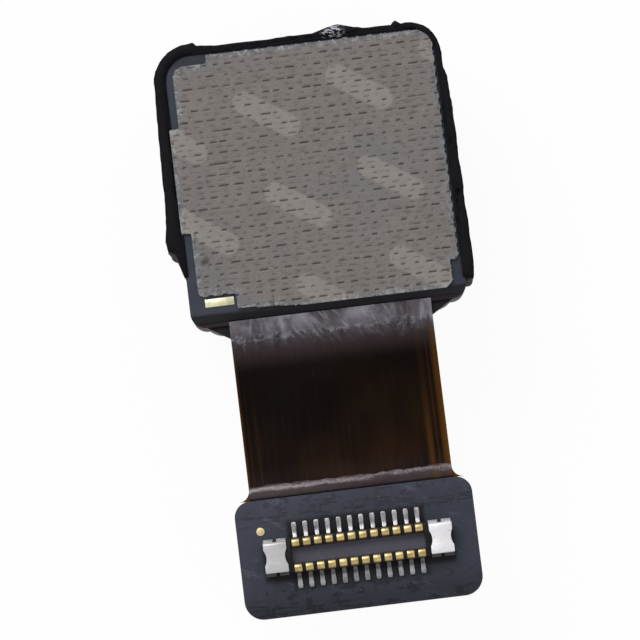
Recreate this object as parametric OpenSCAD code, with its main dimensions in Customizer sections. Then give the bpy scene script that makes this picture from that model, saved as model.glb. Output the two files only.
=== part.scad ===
// Autofocus camera module on a rigid-flex tail with a board-to-board plug.
// Origin: on the optical axis, in the plane of the shield can's front face.
// +Z points to the back of the module, +Y away from the plug.

/* [Body] */
// Width and length of the square module body
body_w = 8.7; // [8.5:0.1:9.3]
// Radius of the two body corners away from the tail
corner_far = 0.9; // [0.5:0.1:1.1]
// Radius of the two body corners beside the tail
corner_near = 0.45; // [0.3:0.05:0.7]

/* [Shield can] */
// Height of the shield can, from its front face to its rim
can_h = 3.6; // [3.5:0.1:4.2]
// Sheet thickness of the shield can
can_wall = 0.15; // [0.1:0.01:0.18]
// Ledge of the body outside the shield can, on every side
can_ledge = 0.1; // [0.05:0.01:0.12]
// Gap between the lens barrel and the edge of the can's front aperture
aperture_gap = 0.4; // [0.2:0.05:0.6]

/* [Actuator] */
// Focus travel of the lens group, towards the front
focus_travel = 0.3; // [0.2:0.02:0.34]
// Height of the spacer frame behind the can's front wall
spacer_h = 0.3; // [0.22:0.02:0.34]
// Thickness of the leaf springs
spring_t = 0.04; // [0.03:0.01:0.06]
// Width of a spring arm
arm_w = 0.07; // [0.05:0.01:0.1]
// Gap in which the spring arms lie
arm_gap = 0.3; // [0.22:0.02:0.34]
// Thickness of the magnets
magnet_t = 0.45; // [0.35:0.01:0.5]
// Distance between a magnet's end and the line of the next magnet's face
magnet_corner = 1.15; // [1.1:0.05:1.6]
// Thickness of the coil
coil_t = 0.25; // [0.18:0.01:0.3]
// Air gap between coil and magnets
coil_gap = 0.15; // [0.1:0.01:0.18]
// Thickness of the carrier's flanges before and behind the coil
flange_t = 0.2; // [0.14:0.02:0.3]
// Height of the moulded base, outside the can
base_h = 0.45; // [0.35:0.05:0.6]
// Height of the base's plateau inside the can's rim
plateau_h = 0.15; // [0.12:0.01:0.2]
// Width of the terminal strips
terminal_w = 0.7; // [0.5:0.05:0.9]
// Thickness of the terminal strips
terminal_t = 0.1; // [0.06:0.01:0.12]
// Distance of the terminals from the middle
terminal_x = 2.2; // [1.8:0.1:2.6]

/* [Lens] */
// Wall of the carrier round the lens barrel
carrier_wall = 0.28; // [0.24:0.01:0.4]
// Wall of the barrel outside the rear lens
barrel_wall = 0.45; // [0.3:0.01:0.5]
// Entrance aperture diameter of the barrel
stop_d = 2.2; // [1.6:0.1:2.4]
// Depth of the barrel's front shoulder
shoulder_h = 0.3; // [0.26:0.02:0.4]
// Height of the five lenses' rims together
lens_stack_h = 2.4; // [2.2:0.05:2.45]
// Thickness of the light baffles
baffle_t = 0.03; // [0.02:0.01:0.05]

/* [Sensor holder] */
// Wall of the holder round the cavity over the sensor board
holder_wall = 0.55; // [0.45:0.05:0.6]
// Width of the infrared filter
filter_w = 6.2; // [5.9:0.1:6.4]
// Length of the infrared filter
filter_l = 5.2; // [4.8:0.1:5.4]
// Thickness of the infrared filter
filter_t = 0.21; // [0.15:0.01:0.21]
// Width of the ledge that the filter is glued to
filter_ledge = 0.3; // [0.2:0.05:0.4]
// Thickness of that ledge
ledge_t = 0.15; // [0.1:0.01:0.25]

/* [Sensor board] */
// Thickness of the lower laminate, which carries the sensor
lower_board_t = 0.25; // [0.2:0.01:0.35]
// Thickness of the flex core
flex_t = 0.12; // [0.08:0.01:0.16]
// Thickness of the upper laminate
upper_board_t = 0.22; // [0.15:0.01:0.3]
// Setback of the upper laminate's lower edge from the body's edge, at its foot
step_setback = 0.1; // [0.05:0.01:0.2]
// Width of the sloped lower edge of the upper laminate
step_slope = 0.22; // [0.1:0.01:0.3]
// Width of the sensor die
die_w = 6.4; // [6:0.1:6.5]
// Length of the sensor die
die_l = 5; // [4.6:0.1:5.2]
// Thickness of the sensor die
die_t = 0.2; // [0.12:0.01:0.2]
// Height of the small chips and capacitors on the board
chip_h = 0.24; // [0.16:0.02:0.26]

/* [Conductive cloth] */
// Thickness of the conductive cloth
cloth_t = 0.11; // [0.08:0.01:0.15]
// Margin of bare board beside the cloth, right side and far side
cloth_margin = 0.1; // [0.1:0.01:0.3]
// Wider margin on the left side, outside the cloth's tab
cloth_margin_left = 0.28; // [0.2:0.01:0.4]
// Length of the tab that reaches the board's left edge
tab_l = 3.42; // [2:0.02:4]
// Middle of that tab along the board
tab_y = 0.3; // [-0.5:0.1:0.6]
// Pitch of the weave's rows
weave_pitch = 0.349; // [0.3:0.001:0.5]

/* [Ground pad] */
// Length of the bare gold pad
pad_w = 0.92; // [0.6:0.02:1.1]
// Width of the bare gold pad
pad_l = 0.26; // [0.18:0.02:0.3]

/* [Side tape] */
// Width of the side tape, down the body's sides
tape_h = 2.6; // [2:0.1:3.2]

/* [Tail] */
// Width of the flex tail
tail_w = 6.37; // [5.8:0.05:6.6]
// Free length of the tail between the body and the connector board
tail_l = 5.56; // [4:0.02:12]
// Width of the root resin along the tail
root_w = 0.6; // [0.4:0.05:0.9]
// Width of the resin ridge at the connector board
ridge_w = 0.44; // [0.3:0.02:0.6]
// Height of the resin ridge
ridge_h = 0.16; // [0.13:0.01:0.25]

/* [Connector board] */
// Width of the connector board
end_w = 7.45; // [7.2:0.05:9]
// Length of the connector board
end_l = 3.7; // [3.4:0.05:5]
// Thickness of the connector board's laminate
end_t = 0.12; // [0.08:0.01:0.2]
// Thickness of the stiffener behind the plug
stiffener_t = 0.25; // [0.15:0.01:0.4]
// Diameter of the index dot
index_d = 0.26; // [0.2:0.02:0.4]

/* [Plug] */
// Contacts in each row
contacts = 12; // [8:1:13]
// Pitch of the contacts
pitch = 0.35; // [0.33:0.01:0.36]
// Distance of the plug's middle from the connector board's middle
plug_shift = 0.02; // [-0.1:0.01:0.2]
// Height of the plug's walls over the board
plug_h = 0.52; // [0.46:0.01:0.6]
// Thickness of the plug's long walls
plug_wall = 0.26; // [0.24:0.01:0.3]
// Width of the groove between the walls
groove_w = 0.52; // [0.46:0.02:0.6]
// Thickness of the plug's floor
plug_floor = 0.22; // [0.18:0.01:0.26]
// Length of the blocks at the plug's ends
block_l = 0.84; // [0.78:0.02:1]
// Thickness of the contact strip
contact_t = 0.06; // [0.05:0.01:0.07]
// Width of a contact over the wall
contact_w = 0.25; // [0.2:0.01:0.26]
// Width of a contact's tail
tail_strip_w = 0.12; // [0.1:0.01:0.14]
// Length of a contact's tail outside the wall
tail_strip_l = 0.48; // [0.36:0.02:0.5]
// Sheet thickness of the hold-downs
holddown_t = 0.08; // [0.06:0.01:0.1]
// Gap between a hold-down and the end of the plug's long walls
holddown_gap = 0.02; // [0.01:0.01:0.06]

/* [Hidden] */
$fn = 64;
// Overshoot of a cutting tool past the face that it cuts, and of a tapered one
cut = 0.5;
skim = 0.01;

// Half widths of the body, the can, the magnets and the coil, from outside to inside
body_r = body_w / 2;
can_r = body_r - can_ledge;
can_corner = corner_far - can_ledge;
can_in = can_r - can_wall;
magnet_in = can_in - magnet_t;
coil_out = magnet_in - coil_gap;
coil_in = coil_out - coil_t;
boss_step = 0.05;
boss_r = coil_in - boss_step;
thread_gap = 0.02;
barrel_r = boss_r - carrier_wall - thread_gap;
frame_r = boss_r + arm_gap;
arm_r = boss_r + arm_gap / 2;
// Springs: sweep of an arm, its root in the rings, gaps to the can, the barrel and the posts
arm_sweep = 62;
arm_root = 0.02;
spring_can_gap = 0.03;
spring_barrel_gap = 0.05;
spring_post_gap = 0.04;
spring_split = 0.12;
// Gap round the terminals where they leave the can, and the length of their inner pads
terminal_clear = 0.05;
terminal_pad_l = 0.5;
terminal_l = body_r - can_in + terminal_pad_l;

// The coil's and the carrier's corners are cut off: flat length as a share of the width
octagon_cut = 0.4;
// Gap between the base's corner posts and the magnets' corners
post_gap = 0.1;
magnet_splay = 0.45;
magnet_l = 2 * (magnet_in - magnet_corner);
post_line = magnet_in + magnet_l / 2 + magnet_splay * magnet_t + magnet_t + post_gap;

// Levels of the actuator, from the front face
spacer_z = can_wall;
upper_spring_z = spacer_z + spacer_h;
boss_z = upper_spring_z + spring_t;
travel_gap = 0.05;
flange_z = upper_spring_z + focus_travel + travel_gap;
coil_z = flange_z + flange_t;
plateau_z = can_h - plateau_h;
lower_spring_z = plateau_z - spring_t;
rear_boss_h = 0.31;
rear_flange_z = lower_spring_z - rear_boss_h - flange_t;
magnet_front_gap = 0.11;
magnet_rear_gap = 0.21;
magnet_z = boss_z + magnet_front_gap;
magnet_end_z = lower_spring_z - magnet_rear_gap;
base_end_z = can_h + base_h;
base_clear = 0.1;
base_open_r = barrel_r + base_clear;

// Levels of the lens group
nose_gap = 0.1;
barrel_z = focus_travel + nose_gap;
barrel_rear_gap = 0.05;
barrel_end_z = base_end_z - barrel_rear_gap;
nose_step = 0.3;
nose_r = barrel_r - nose_step;
nose_h = 0.45;
mouth_rim = 0.45;
// Four notches in the nose's edge, for the key that screws the barrel in
notch_w = 0.5;
notch_l = 0.18;
notch_h = 0.2;
lens_fit = 0.01;
// Each lens's share of the stack, from the front
lens_share = [0.19, 0.13, 0.18, 0.22, 0.28];
lens_t = [for (share = lens_share) share * lens_stack_h];
lens_count = len(lens_share);
// The bore narrows towards the front in steps; each lens has a flat rim outside its clear radius,
// both as shares of the barrel's radius
bore_share = [0.24, 0.19, 0.14, 0.07, 0];
rim_share = [0, 0.29, 0.24, 0.21, 0.14];
lens_r = [for (share = bore_share) barrel_r * (1 - share) - barrel_wall];
clear_r = [for (i = [0:lens_count - 1]) i == 0 ? stop_d / 2 : lens_r[i] - barrel_r * rim_share[i]];
// Bulge of each lens face at its middle as a share of the stack: front face, then rear face
bulge_share = [[0.083, -0.01], [-0.017, -0.05], [0.03, 0.04], [-0.06, 0.05], [-0.075, -0.083]];
lens_bulge = lens_stack_h * bulge_share;
retainer_h = 0.28;
// How far the baffles and the retainer stay outside the lenses' clear radius
baffle_step = 0.02;
retainer_step = 0.1;

// Widths and levels of the sensor end
cavity_w = body_w - 2 * holder_wall;
holder_z = base_end_z;
filter_gap = 0.04;
filter_z = holder_z + filter_gap;
filter_pocket_gap = 0.05;
roof_end_z = filter_z + filter_t + ledge_t;
chip_clear = 0.03;
holder_h = roof_end_z - holder_z + chip_clear + chip_h;
lower_board_z = holder_z + holder_h;
flex_z = lower_board_z + lower_board_t;
upper_board_z = flex_z + flex_t;
cloth_z = upper_board_z + upper_board_t;
die_z = lower_board_z - die_t;
wire_d = 0.03;
wire_pitch = 0.25;
wire_reach = 0.28;
wire_rise = 0.04;
wire_margin = 0.2;
active_margin = 0.4;
active_rise = 0.01;
// Chips and capacitors stand halfway between the die and the cavity's wall
chip_row_y = (die_l + cavity_w) / 4;
driver_x = -1.5;
driver_w = 1.3;
driver_l = 0.75;
memory_x = 1.3;
memory_w = 1.1;
memory_l = 0.7;
capacitor_pitch = 1.6;
capacitor_w = 0.6;
capacitor_l = 0.3;

// Places of the body's lower edge, the tail and the connector board
step_top_y = -body_r + step_setback + step_slope;
step_foot_y = -body_r + step_setback;
tail_end_y = -body_r - tail_l;
end_y = tail_end_y - end_l / 2;
plug_y = end_y + plug_shift;
end_z = upper_board_z;
plug_z = end_z + end_t;
shoulder_r = 0.5;
end_corner = 0.6;
neck_r = 0.35;
index_x = -end_w / 2 + 0.75;
index_y = tail_end_y - 0.98;

// Cloth: its edges, its tab, its cut corners and the notch round the ground pad
cloth_right = body_r - cloth_margin;
cloth_top = body_r - cloth_margin;
cloth_left = -body_r + cloth_margin_left;
cloth_bottom = step_top_y + 0.11;
cloth_corner = 0.55;
cloth_step = [1.1, 0.28];
pad_x = -body_r + 0.96;
pad_y = step_top_y + 0.42;
pad_t = 0.03;
pad_clear = 0.04;
chamfer = 0.68;
// Weave: margin of its first row, groove along each row, and floats sunk into the groove
row_margin = 0.1;
row_groove = 0.03;
row_sink = 0.015;
float_l = 0.2;
float_w = 0.06;
float_sink = 0.03;
float_pitch = 1.5;
float_stagger = 0.48;

// Resin: thickness and wavy border at the root, and the fillet under the tail
root_t = 0.05;
root_wave = 0.06;
fillet_spread = 0.7;
fillet_reach = 0.42;

// Plug: half lengths and half widths
row_l = contacts * pitch;
plug_end_x = row_l / 2 + block_l;
wall_in = groove_w / 2;
wall_out = wall_in + plug_wall;
recess = contact_t - 0.02;
recess_gap = 0.01;
block_r = 0.4;
wall_end_gap = 0.1;
wall_end_x = row_l / 2 + wall_end_gap;
plug_corner = 0.08;
solder_h = 0.09;
// Skin of solder on a tail, its fillet against the contact and its toe past the tail's end
solder_skin = 0.03;
solder_fillet = 0.12;
solder_toe = 0.06;
// Hold-downs: inner bend radius, feet, waist, and the slot between two prongs up to its margin
bend_r = 0.02;
foot_l = 0.1;
waist = 0.07;
waist_r = 0.45;
prong_gap = 0.1;
slot_margin = 0.06;

// ---------- shared outlines ----------

// Rectangle with round corners, centred
module rounded(w, l, r) {
  square([w - 2 * r, l], center = true);
  square([w, l - 2 * r], center = true);
  for (x = [-1, 1], y = [-1, 1]) translate([x * (w / 2 - r), y * (l / 2 - r)]) circle(r);
}

// Centred rectangle with one radius for the two far corners and another for the two near ones
module two_radius(w, l, far, near) {
  translate([-w / 2, near - l / 2]) square([w, l - near - far]);
  for (y = [-1, 1]) {
    r = y > 0 ? far : near;
    translate([r - w / 2, y > 0 ? 0 : -l / 2]) square([w - 2 * r, l / 2]);
    for (x = [-1, 1]) translate([x * (w / 2 - r), y * (l / 2 - r)]) circle(r);
  }
}

// Outline of the body: large corners away from the tail, small ones beside it
module body_outline(inset = 0) {
  w = body_w - 2 * inset;
  two_radius(w, w, corner_far - inset, corner_near - inset);
}

// Square of half width r with its corners cut off
module octagon(r) {
  c = r * octagon_cut;
  polygon([[r, c - r], [r, r - c], [r - c, r], [c - r, r], [-r, r - c], [-r, c - r], [c - r, -r],
    [r - c, -r]]);
}

module ring(outer, inner) {
  difference() {
    circle(outer);
    circle(inner);
  }
}

// A prism from one level to another
module slab(z0, z1) {
  translate([0, 0, z0]) linear_extrude(z1 - z0) children();
}

// ---------- actuator ----------

module shield_can() {
  gap_w = terminal_w + 2 * terminal_clear;
  color([0.13, 0.13, 0.14]) difference() {
    slab(0, can_h) rounded(2 * can_r, 2 * can_r, can_corner);
    slab(can_wall, can_h + cut) rounded(2 * can_in, 2 * can_in, can_corner - can_wall);
    slab(-cut, can_h) circle(barrel_r + aperture_gap);
    for (x = [-1, 1]) translate([x * terminal_x - gap_w / 2, -can_r - cut, plateau_z - terminal_clear])
      cube([gap_w, 2 * cut, plateau_h + cut]);
  }
}

module spacer_frame() {
  color([0.2, 0.2, 0.21]) slab(spacer_z, upper_spring_z) difference() {
    rounded(2 * can_in, 2 * can_in, can_corner - can_wall);
    circle(frame_r);
  }
}

// One quarter of a leaf spring's arms: an arc with a link at each end
module spring_arm() {
  link = arm_gap / 2 + arm_root;
  difference() {
    ring(arm_r + arm_w / 2, arm_r - arm_w / 2);
    rotate(-arm_sweep / 2) translate([-2 * frame_r, -4 * frame_r]) square(4 * frame_r);
    rotate(arm_sweep / 2) translate([-2 * frame_r, 0]) square(4 * frame_r);
  }
  rotate(-arm_sweep / 2) translate([boss_r - arm_root, -arm_w / 2]) square([link, arm_w]);
  rotate(arm_sweep / 2) translate([arm_r, -arm_w / 2]) square([link, arm_w]);
}

module spring_outline() {
  w = 2 * (can_in - spring_can_gap);
  difference() {
    rounded(w, w, can_corner - can_wall);
    circle(frame_r);
  }
  ring(boss_r, barrel_r + spring_barrel_gap);
  for (a = [0:90:270]) rotate(a) spring_arm();
}

module upper_spring() {
  color([0.72, 0.62, 0.42]) slab(upper_spring_z, boss_z) spring_outline();
}

// Half of the rear spring, cut out round the posts: the two halves feed the coil's two ends
module lower_spring(side) {
  color([0.72, 0.62, 0.42]) slab(lower_spring_z, plateau_z) difference() {
    spring_outline();
    translate([side > 0 ? spring_split / 2 - body_w : -spring_split / 2, -body_r]) square(body_w);
    post_corners(post_line - spring_post_gap);
  }
}

// Bar magnet with splayed ends on one of the can's walls
module magnet(i) {
  half = magnet_l / 2;
  color([0.55, 0.56, 0.58]) rotate(90 * (i - 1)) slab(magnet_z, magnet_end_z)
    polygon([[-half, magnet_in], [half, magnet_in], [half + magnet_splay * magnet_t, can_in],
      [-half - magnet_splay * magnet_t, can_in]]);
}

module coil() {
  color([0.7, 0.36, 0.16]) slab(coil_z, rear_flange_z) difference() {
    octagon(coil_out);
    octagon(coil_in);
  }
}

module lens_carrier() {
  color([0.1, 0.1, 0.11]) difference() {
    union() {
      slab(boss_z, lower_spring_z) circle(boss_r);
      slab(flange_z, rear_flange_z + flange_t) octagon(coil_in);
      slab(flange_z, coil_z) octagon(coil_out);
      slab(rear_flange_z, rear_flange_z + flange_t) octagon(coil_out);
    }
    slab(0, can_h) circle(barrel_r + thread_gap);
  }
}

// Folded strip: pad under the rear spring, then out through the base and down to the board
module terminal(side) {
  color([0.8, 0.78, 0.7]) translate([side * terminal_x - terminal_w / 2, -body_r, plateau_z]) {
    cube([terminal_w, terminal_l, terminal_t]);
    cube([terminal_w, terminal_t, lower_board_z - plateau_z]);
  }
}

// What a terminal takes out of the mouldings, open to the outside
module terminal_slot(side) {
  z = plateau_z - skim;
  translate([side * terminal_x - terminal_w / 2, -body_r - cut, z]) {
    cube([terminal_w, cut + terminal_l, skim + terminal_t]);
    cube([terminal_w, cut + terminal_t, lower_board_z - z + cut]);
  }
}

// The four corners of the body outside a slanted line
module post_corners(line) {
  for (a = [0:90:270]) rotate(a)
    polygon([[line - body_r, body_r], [body_r, line - body_r], [body_r, body_r]]);
}

module actuator_base() {
  color([0.09, 0.09, 0.1]) difference() {
    union() {
      slab(can_h, base_end_z) body_outline();
      slab(plateau_z, can_h) rounded(2 * can_in, 2 * can_in, can_corner - can_wall);
      slab(boss_z, plateau_z) intersection() {
        rounded(2 * can_in, 2 * can_in, can_corner - can_wall);
        post_corners(post_line);
      }
    }
    slab(plateau_z - cut, base_end_z + cut) circle(base_open_r);
    for (side = [-1, 1]) terminal_slot(side);
  }
}

// ---------- lens group ----------

function lens_z(i) = i == 0 ? barrel_z + shoulder_h : lens_z(i - 1) + lens_t[i - 1] + baffle_t;
function bulge(depth, r, clear) = depth * (1 - pow(min(r / clear, 1), 2));

stack_end_z = lens_z(lens_count - 1) + lens_t[lens_count - 1];

module lens_barrel() {
  color([0.07, 0.07, 0.08]) difference() {
    union() {
      slab(barrel_z, barrel_z + nose_h) circle(nose_r);
      slab(barrel_z + nose_h, barrel_end_z) circle(barrel_r);
    }
    translate([0, 0, barrel_z - skim]) cylinder(h = shoulder_h / 2 + skim,
      r1 = nose_r - mouth_rim, r2 = stop_d / 2);
    for (a = [45:90:315]) rotate(a) translate([nose_r - notch_l, -notch_w / 2, barrel_z - cut])
      cube([notch_l + cut, notch_w, notch_h + cut]);
    slab(barrel_z, barrel_end_z) circle(stop_d / 2);
    for (i = [0:lens_count - 1]) slab(lens_z(i) - (i > 0 ? baffle_t : 0), barrel_end_z + cut)
      circle(lens_r[i]);
  }
}

// Lens: a flange with a parabolic bulge or hollow on each face
module lens(i) {
  steps = 10;
  clear = clear_r[i];
  front = [for (k = [0:steps]) [clear * k / steps, -bulge(lens_bulge[i][0], clear * k / steps, clear)]];
  rear = [for (k = [steps:-1:0]) [clear * k / steps,
    lens_t[i] + bulge(lens_bulge[i][1], clear * k / steps, clear)]];
  edge = [[lens_r[i] - lens_fit, 0], [lens_r[i] - lens_fit, lens_t[i]]];
  color([0.55, 0.6, 0.7, 0.5]) translate([0, 0, lens_z(i)]) rotate_extrude()
    polygon(concat(front, edge, rear));
}

// Thin ring behind lens i that stops stray light
module baffle(i) {
  color([0.03, 0.03, 0.03]) slab(lens_z(i) - baffle_t, lens_z(i))
    ring(lens_r[i] - lens_fit, max(clear_r[i - 1], clear_r[i]) + baffle_step);
}

module lens_retainer() {
  color([0.05, 0.05, 0.05]) slab(stack_end_z, stack_end_z + retainer_h)
    ring(lens_r[lens_count - 1] - lens_fit, clear_r[lens_count - 1] + retainer_step);
}

// ---------- sensor end ----------

module sensor_holder() {
  window_w = filter_w - 2 * filter_ledge;
  window_l = filter_l - 2 * filter_ledge;
  color([0.1, 0.1, 0.11]) difference() {
    slab(holder_z, lower_board_z) body_outline();
    slab(roof_end_z, lower_board_z + cut) rounded(cavity_w, cavity_w, corner_near);
    slab(holder_z - cut, filter_z + filter_t) square([filter_w + 2 * filter_pocket_gap,
      filter_l + 2 * filter_pocket_gap], center = true);
    slab(holder_z, lower_board_z) square([window_w, window_l], center = true);
    for (side = [-1, 1]) terminal_slot(side);
  }
}

module ir_filter() {
  color([0.55, 0.75, 0.85, 0.5]) slab(filter_z, filter_z + filter_t)
    square([filter_w, filter_l], center = true);
}

module image_sensor() {
  color([0.25, 0.3, 0.38]) {
    slab(die_z, lower_board_z) square([die_w, die_l], center = true);
    slab(die_z - active_rise, die_z)
      square([die_w - 2 * active_margin, die_l - 2 * active_margin], center = true);
  }
}

// Wires over both ends of the die: a flat arch from the die's pad, then down to the board's pad
module bond_wires() {
  count = floor((die_l - 2 * wire_margin) / wire_pitch);
  reach = wire_reach / 2;
  arch_r = (reach * reach + wire_rise * wire_rise) / (2 * wire_rise);
  color([0.85, 0.68, 0.3]) for (side = [-1, 1], i = [0:count - 1])
    translate([side * die_w / 2, (i - (count - 1) / 2) * wire_pitch, die_z]) {
      rotate([90, 0, 0]) linear_extrude(wire_d, center = true) intersection() {
        translate([0, arch_r - wire_rise]) ring(arch_r + wire_d / 2, arch_r - wire_d / 2);
        translate([-2 * reach, -4 * reach]) square([4 * reach, 4 * reach]);
      }
      translate([side * reach - wire_d / 2, -wire_d / 2, 0]) cube([wire_d, wire_d, die_t]);
    }
}

// A chip that stands on the board inside the holder's cavity
module board_chip(x, y, w, l, tint) {
  color(tint) slab(lower_board_z - chip_h, lower_board_z) translate([x, y])
    square([w, l], center = true);
}

module driver_chip() {
  board_chip(driver_x, chip_row_y, driver_w, driver_l, [0.12, 0.13, 0.15]);
}

module memory_chip() {
  board_chip(memory_x, chip_row_y, memory_w, memory_l, [0.14, 0.14, 0.16]);
}

module capacitor(i) {
  board_chip((i - 2.5) * capacitor_pitch, -chip_row_y, capacitor_w, capacitor_l, [0.72, 0.6, 0.45]);
}

module lower_board() {
  color([0.16, 0.17, 0.2]) slab(lower_board_z, flex_z) body_outline();
}

// Outline of the connector end: rectangle with shoulders towards the tail
module end_outline() {
  translate([0, end_y]) two_radius(end_w, end_l, shoulder_r, end_corner);
}

// Fillet where the tail's edge widens into the connector end
module neck_fillet(x) {
  difference() {
    translate([x > 0 ? tail_w / 2 : -tail_w / 2 - neck_r, tail_end_y]) square(neck_r);
    translate([x * (tail_w / 2 + neck_r), tail_end_y + neck_r]) circle(neck_r);
  }
}

module flex_circuit() {
  color([0.16, 0.1, 0.07]) slab(flex_z, upper_board_z) union() {
    body_outline();
    translate([-tail_w / 2, tail_end_y - shoulder_r]) square([tail_w, body_w / 2 + tail_l]);
    end_outline();
    for (x = [-1, 1]) neck_fillet(x);
  }
}

module upper_board() {
  color([0.18, 0.2, 0.25]) difference() {
    slab(upper_board_z, cloth_z) body_outline();
    translate([-body_w, 0, 0]) rotate([90, 0, 90]) linear_extrude(2 * body_w)
      polygon([[step_top_y, cloth_z + cut], [step_top_y, cloth_z], [step_foot_y, upper_board_z],
        [step_foot_y, upper_board_z - cut], [-body_w, upper_board_z - cut], [-body_w, cloth_z + cut]]);
  }
}

// ---------- cloth, pad and tape ----------

module cloth_outline() {
  w = cloth_right - cloth_left;
  l = cloth_top - cloth_bottom;
  difference() {
    union() {
      translate([(cloth_left + cloth_right) / 2, (cloth_top + cloth_bottom) / 2])
        rounded(w, l, cloth_corner / 2);
      translate([-body_r, tab_y - tab_l / 2]) square([body_w / 2, tab_l]);
    }
    // step at the far left corner
    translate([-body_w, cloth_top - cloth_step[1]]) square([body_w + cloth_left + cloth_step[0], body_w]);
    // cut corner beside the tail
    translate([cloth_right, cloth_bottom]) rotate(45)
      square([2 * chamfer, chamfer * sqrt(2)], center = true);
    // round corner away from the tail
    difference() {
      translate([cloth_right - cloth_corner, cloth_top - cloth_corner]) square(body_w);
      translate([cloth_right - cloth_corner, cloth_top - cloth_corner]) circle(cloth_corner);
    }
    // notch round the ground pad
    translate([-body_w, -body_w]) square([body_w + pad_x + pad_w / 2 + pad_clear,
      body_w + pad_y + pad_l / 2 + pad_clear]);
  }
}

// Woven cloth: a groove along each row, and short floats sunk deeper in it
module conductive_cloth() {
  top = cloth_z + cloth_t;
  rows = floor((cloth_top - cloth_bottom - row_margin) / weave_pitch);
  floats = floor((cloth_right - cloth_left) / float_pitch);
  color([0.45, 0.42, 0.39]) difference() {
    slab(cloth_z, top) cloth_outline();
    for (j = [0:rows - 1]) translate([0, cloth_bottom + row_margin + j * weave_pitch, top]) {
      translate([-body_w, -row_groove / 2, -row_sink]) cube([2 * body_w, row_groove, cut]);
      for (i = [0:floats - 1])
        translate([(i - (floats - 1) / 2) * float_pitch + float_stagger * (j % 3 - 1), 0, 0])
          translate([-float_l / 2, -float_w / 2, -float_sink]) cube([float_l, float_w, cut]);
    }
  }
}

module ground_pad() {
  color([0.86, 0.78, 0.5]) slab(cloth_z, cloth_z + pad_t) translate([pad_x, pad_y])
    square([pad_w, pad_l], center = true);
}

// How far the tape stands off the body, from its end on the right round to its end on the left:
// place along the side as a share of the body's half width, then distance from the body's side
tape_right = [[-0.862, -0.05], [-0.864, 0.19], [-0.736, 0.24], [-0.23, 0.2], [0.345, 0.17],
  [0.598, 0.15], [0.667, 0.05]];
tape_far = [[0.759, 0.05], [0.722, 0.15], [0.694, 0.05], [0.483, 0.05], [0.414, 0.11], [0.299, 0.26],
  [0.218, 0.19], [0.115, 0.08], [-0.23, 0.06], [-0.598, 0.07], [-0.736, 0.13], [-0.76, 0.23]];
tape_left = [[0.69, 0.23], [0.345, 0.28], [0, 0.3], [-0.253, 0.35], [-0.345, 0.43], [-0.414, 0.39],
  [-0.441, 0.2], [-0.529, 0.07], [-0.621, 0.02], [-0.622, -0.05]];

// Points of a round corner, counter-clockwise from angle a0
function corner_points(x, y, r, a0) = [for (k = [0:8]) [x + r * cos(a0 + k * 90 / 8),
  y + r * sin(a0 + k * 90 / 8)]];

module tape_outline() {
  thin = 0.05;
  thick = 0.2;
  c = body_r - corner_far;
  polygon(concat(
    [for (p = tape_right) [body_r + p[1], p[0] * body_r]],
    corner_points(c, c, corner_far + thin, 0),
    [for (p = tape_far) [p[0] * body_r, body_r + p[1]]],
    corner_points(-c, c, corner_far + thick, 90),
    [for (p = tape_left) [-body_r - p[1], p[0] * body_r]]
  ));
}

// Black band round the left, far and right sides, with a narrow lip over the board's edge
module side_tape() {
  lip = 0.08;
  lip_t = 0.05;
  color([0.05, 0.05, 0.06]) {
    slab(cloth_z - tape_h, cloth_z) difference() {
      tape_outline();
      body_outline();
    }
    slab(cloth_z, cloth_z + lip_t) difference() {
      tape_outline();
      body_outline(lip);
      cloth_outline();
    }
  }
}

// ---------- resin at the tail's ends ----------

module root_bead() {
  steps = 24;
  near = step_foot_y;
  far = [for (i = [0:steps]) let (x = tail_w * (i / steps - 0.5))
    [x, near - root_w - root_wave * (sin(x * 170) + 0.6 * sin(x * 410 + 40))]];
  color([0.42, 0.4, 0.42]) slab(upper_board_z, upper_board_z + root_t)
    polygon(concat([[tail_w / 2, near], [-tail_w / 2, near]], far));
}

// Black resin under the tail, against the body's edge
module root_fillet() {
  wide = tail_w / 2 + fillet_spread;
  color([0.06, 0.06, 0.07]) slab(lower_board_z, flex_z)
    polygon([[-wide, -body_r], [-tail_w / 2, -body_r - fillet_reach],
      [tail_w / 2, -body_r - fillet_reach], [wide, -body_r]]);
}

// Ridge of resin across the tail at the connector board
module connector_bead() {
  r = (pow(ridge_w / 2, 2) + pow(ridge_h, 2)) / (2 * ridge_h);
  color([0.5, 0.45, 0.43]) translate([-tail_w / 2, tail_end_y + ridge_w / 2, upper_board_z])
    rotate([90, 0, 90]) linear_extrude(tail_w) intersection() {
      translate([0, ridge_h - r]) circle(r);
      translate([-ridge_w / 2, 0]) square([ridge_w, ridge_h]);
    }
}

// ---------- connector end ----------

module connector_board() {
  color([0.18, 0.2, 0.25]) slab(end_z, plug_z) end_outline();
}

module connector_stiffener() {
  color([0.15, 0.15, 0.17]) slab(flex_z - stiffener_t, flex_z) end_outline();
}

module index_dot() {
  color([0.86, 0.78, 0.5]) slab(plug_z, plug_z + pad_t) translate([index_x, index_y])
    circle(index_d / 2);
}

// Place of contact i in its row
function contact_x(i) = (i - (contacts - 1) / 2) * pitch;

module plug_housing() {
  color([0.12, 0.12, 0.15]) translate([0, plug_y, plug_z]) difference() {
    union() {
      slab(0, plug_h) square([2 * plug_end_x, 2 * block_r], center = true);
      slab(0, plug_h) rounded(2 * wall_end_x, 2 * wall_out, plug_corner);
    }
    slab(plug_floor, plug_h + cut) rounded(row_l, groove_w, plug_corner);
    for (row = [0, 1], i = [0:contacts - 1]) translate([contact_x(i), 0, 0])
      mirror([0, row, 0]) contact_recess();
  }
}

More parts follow.
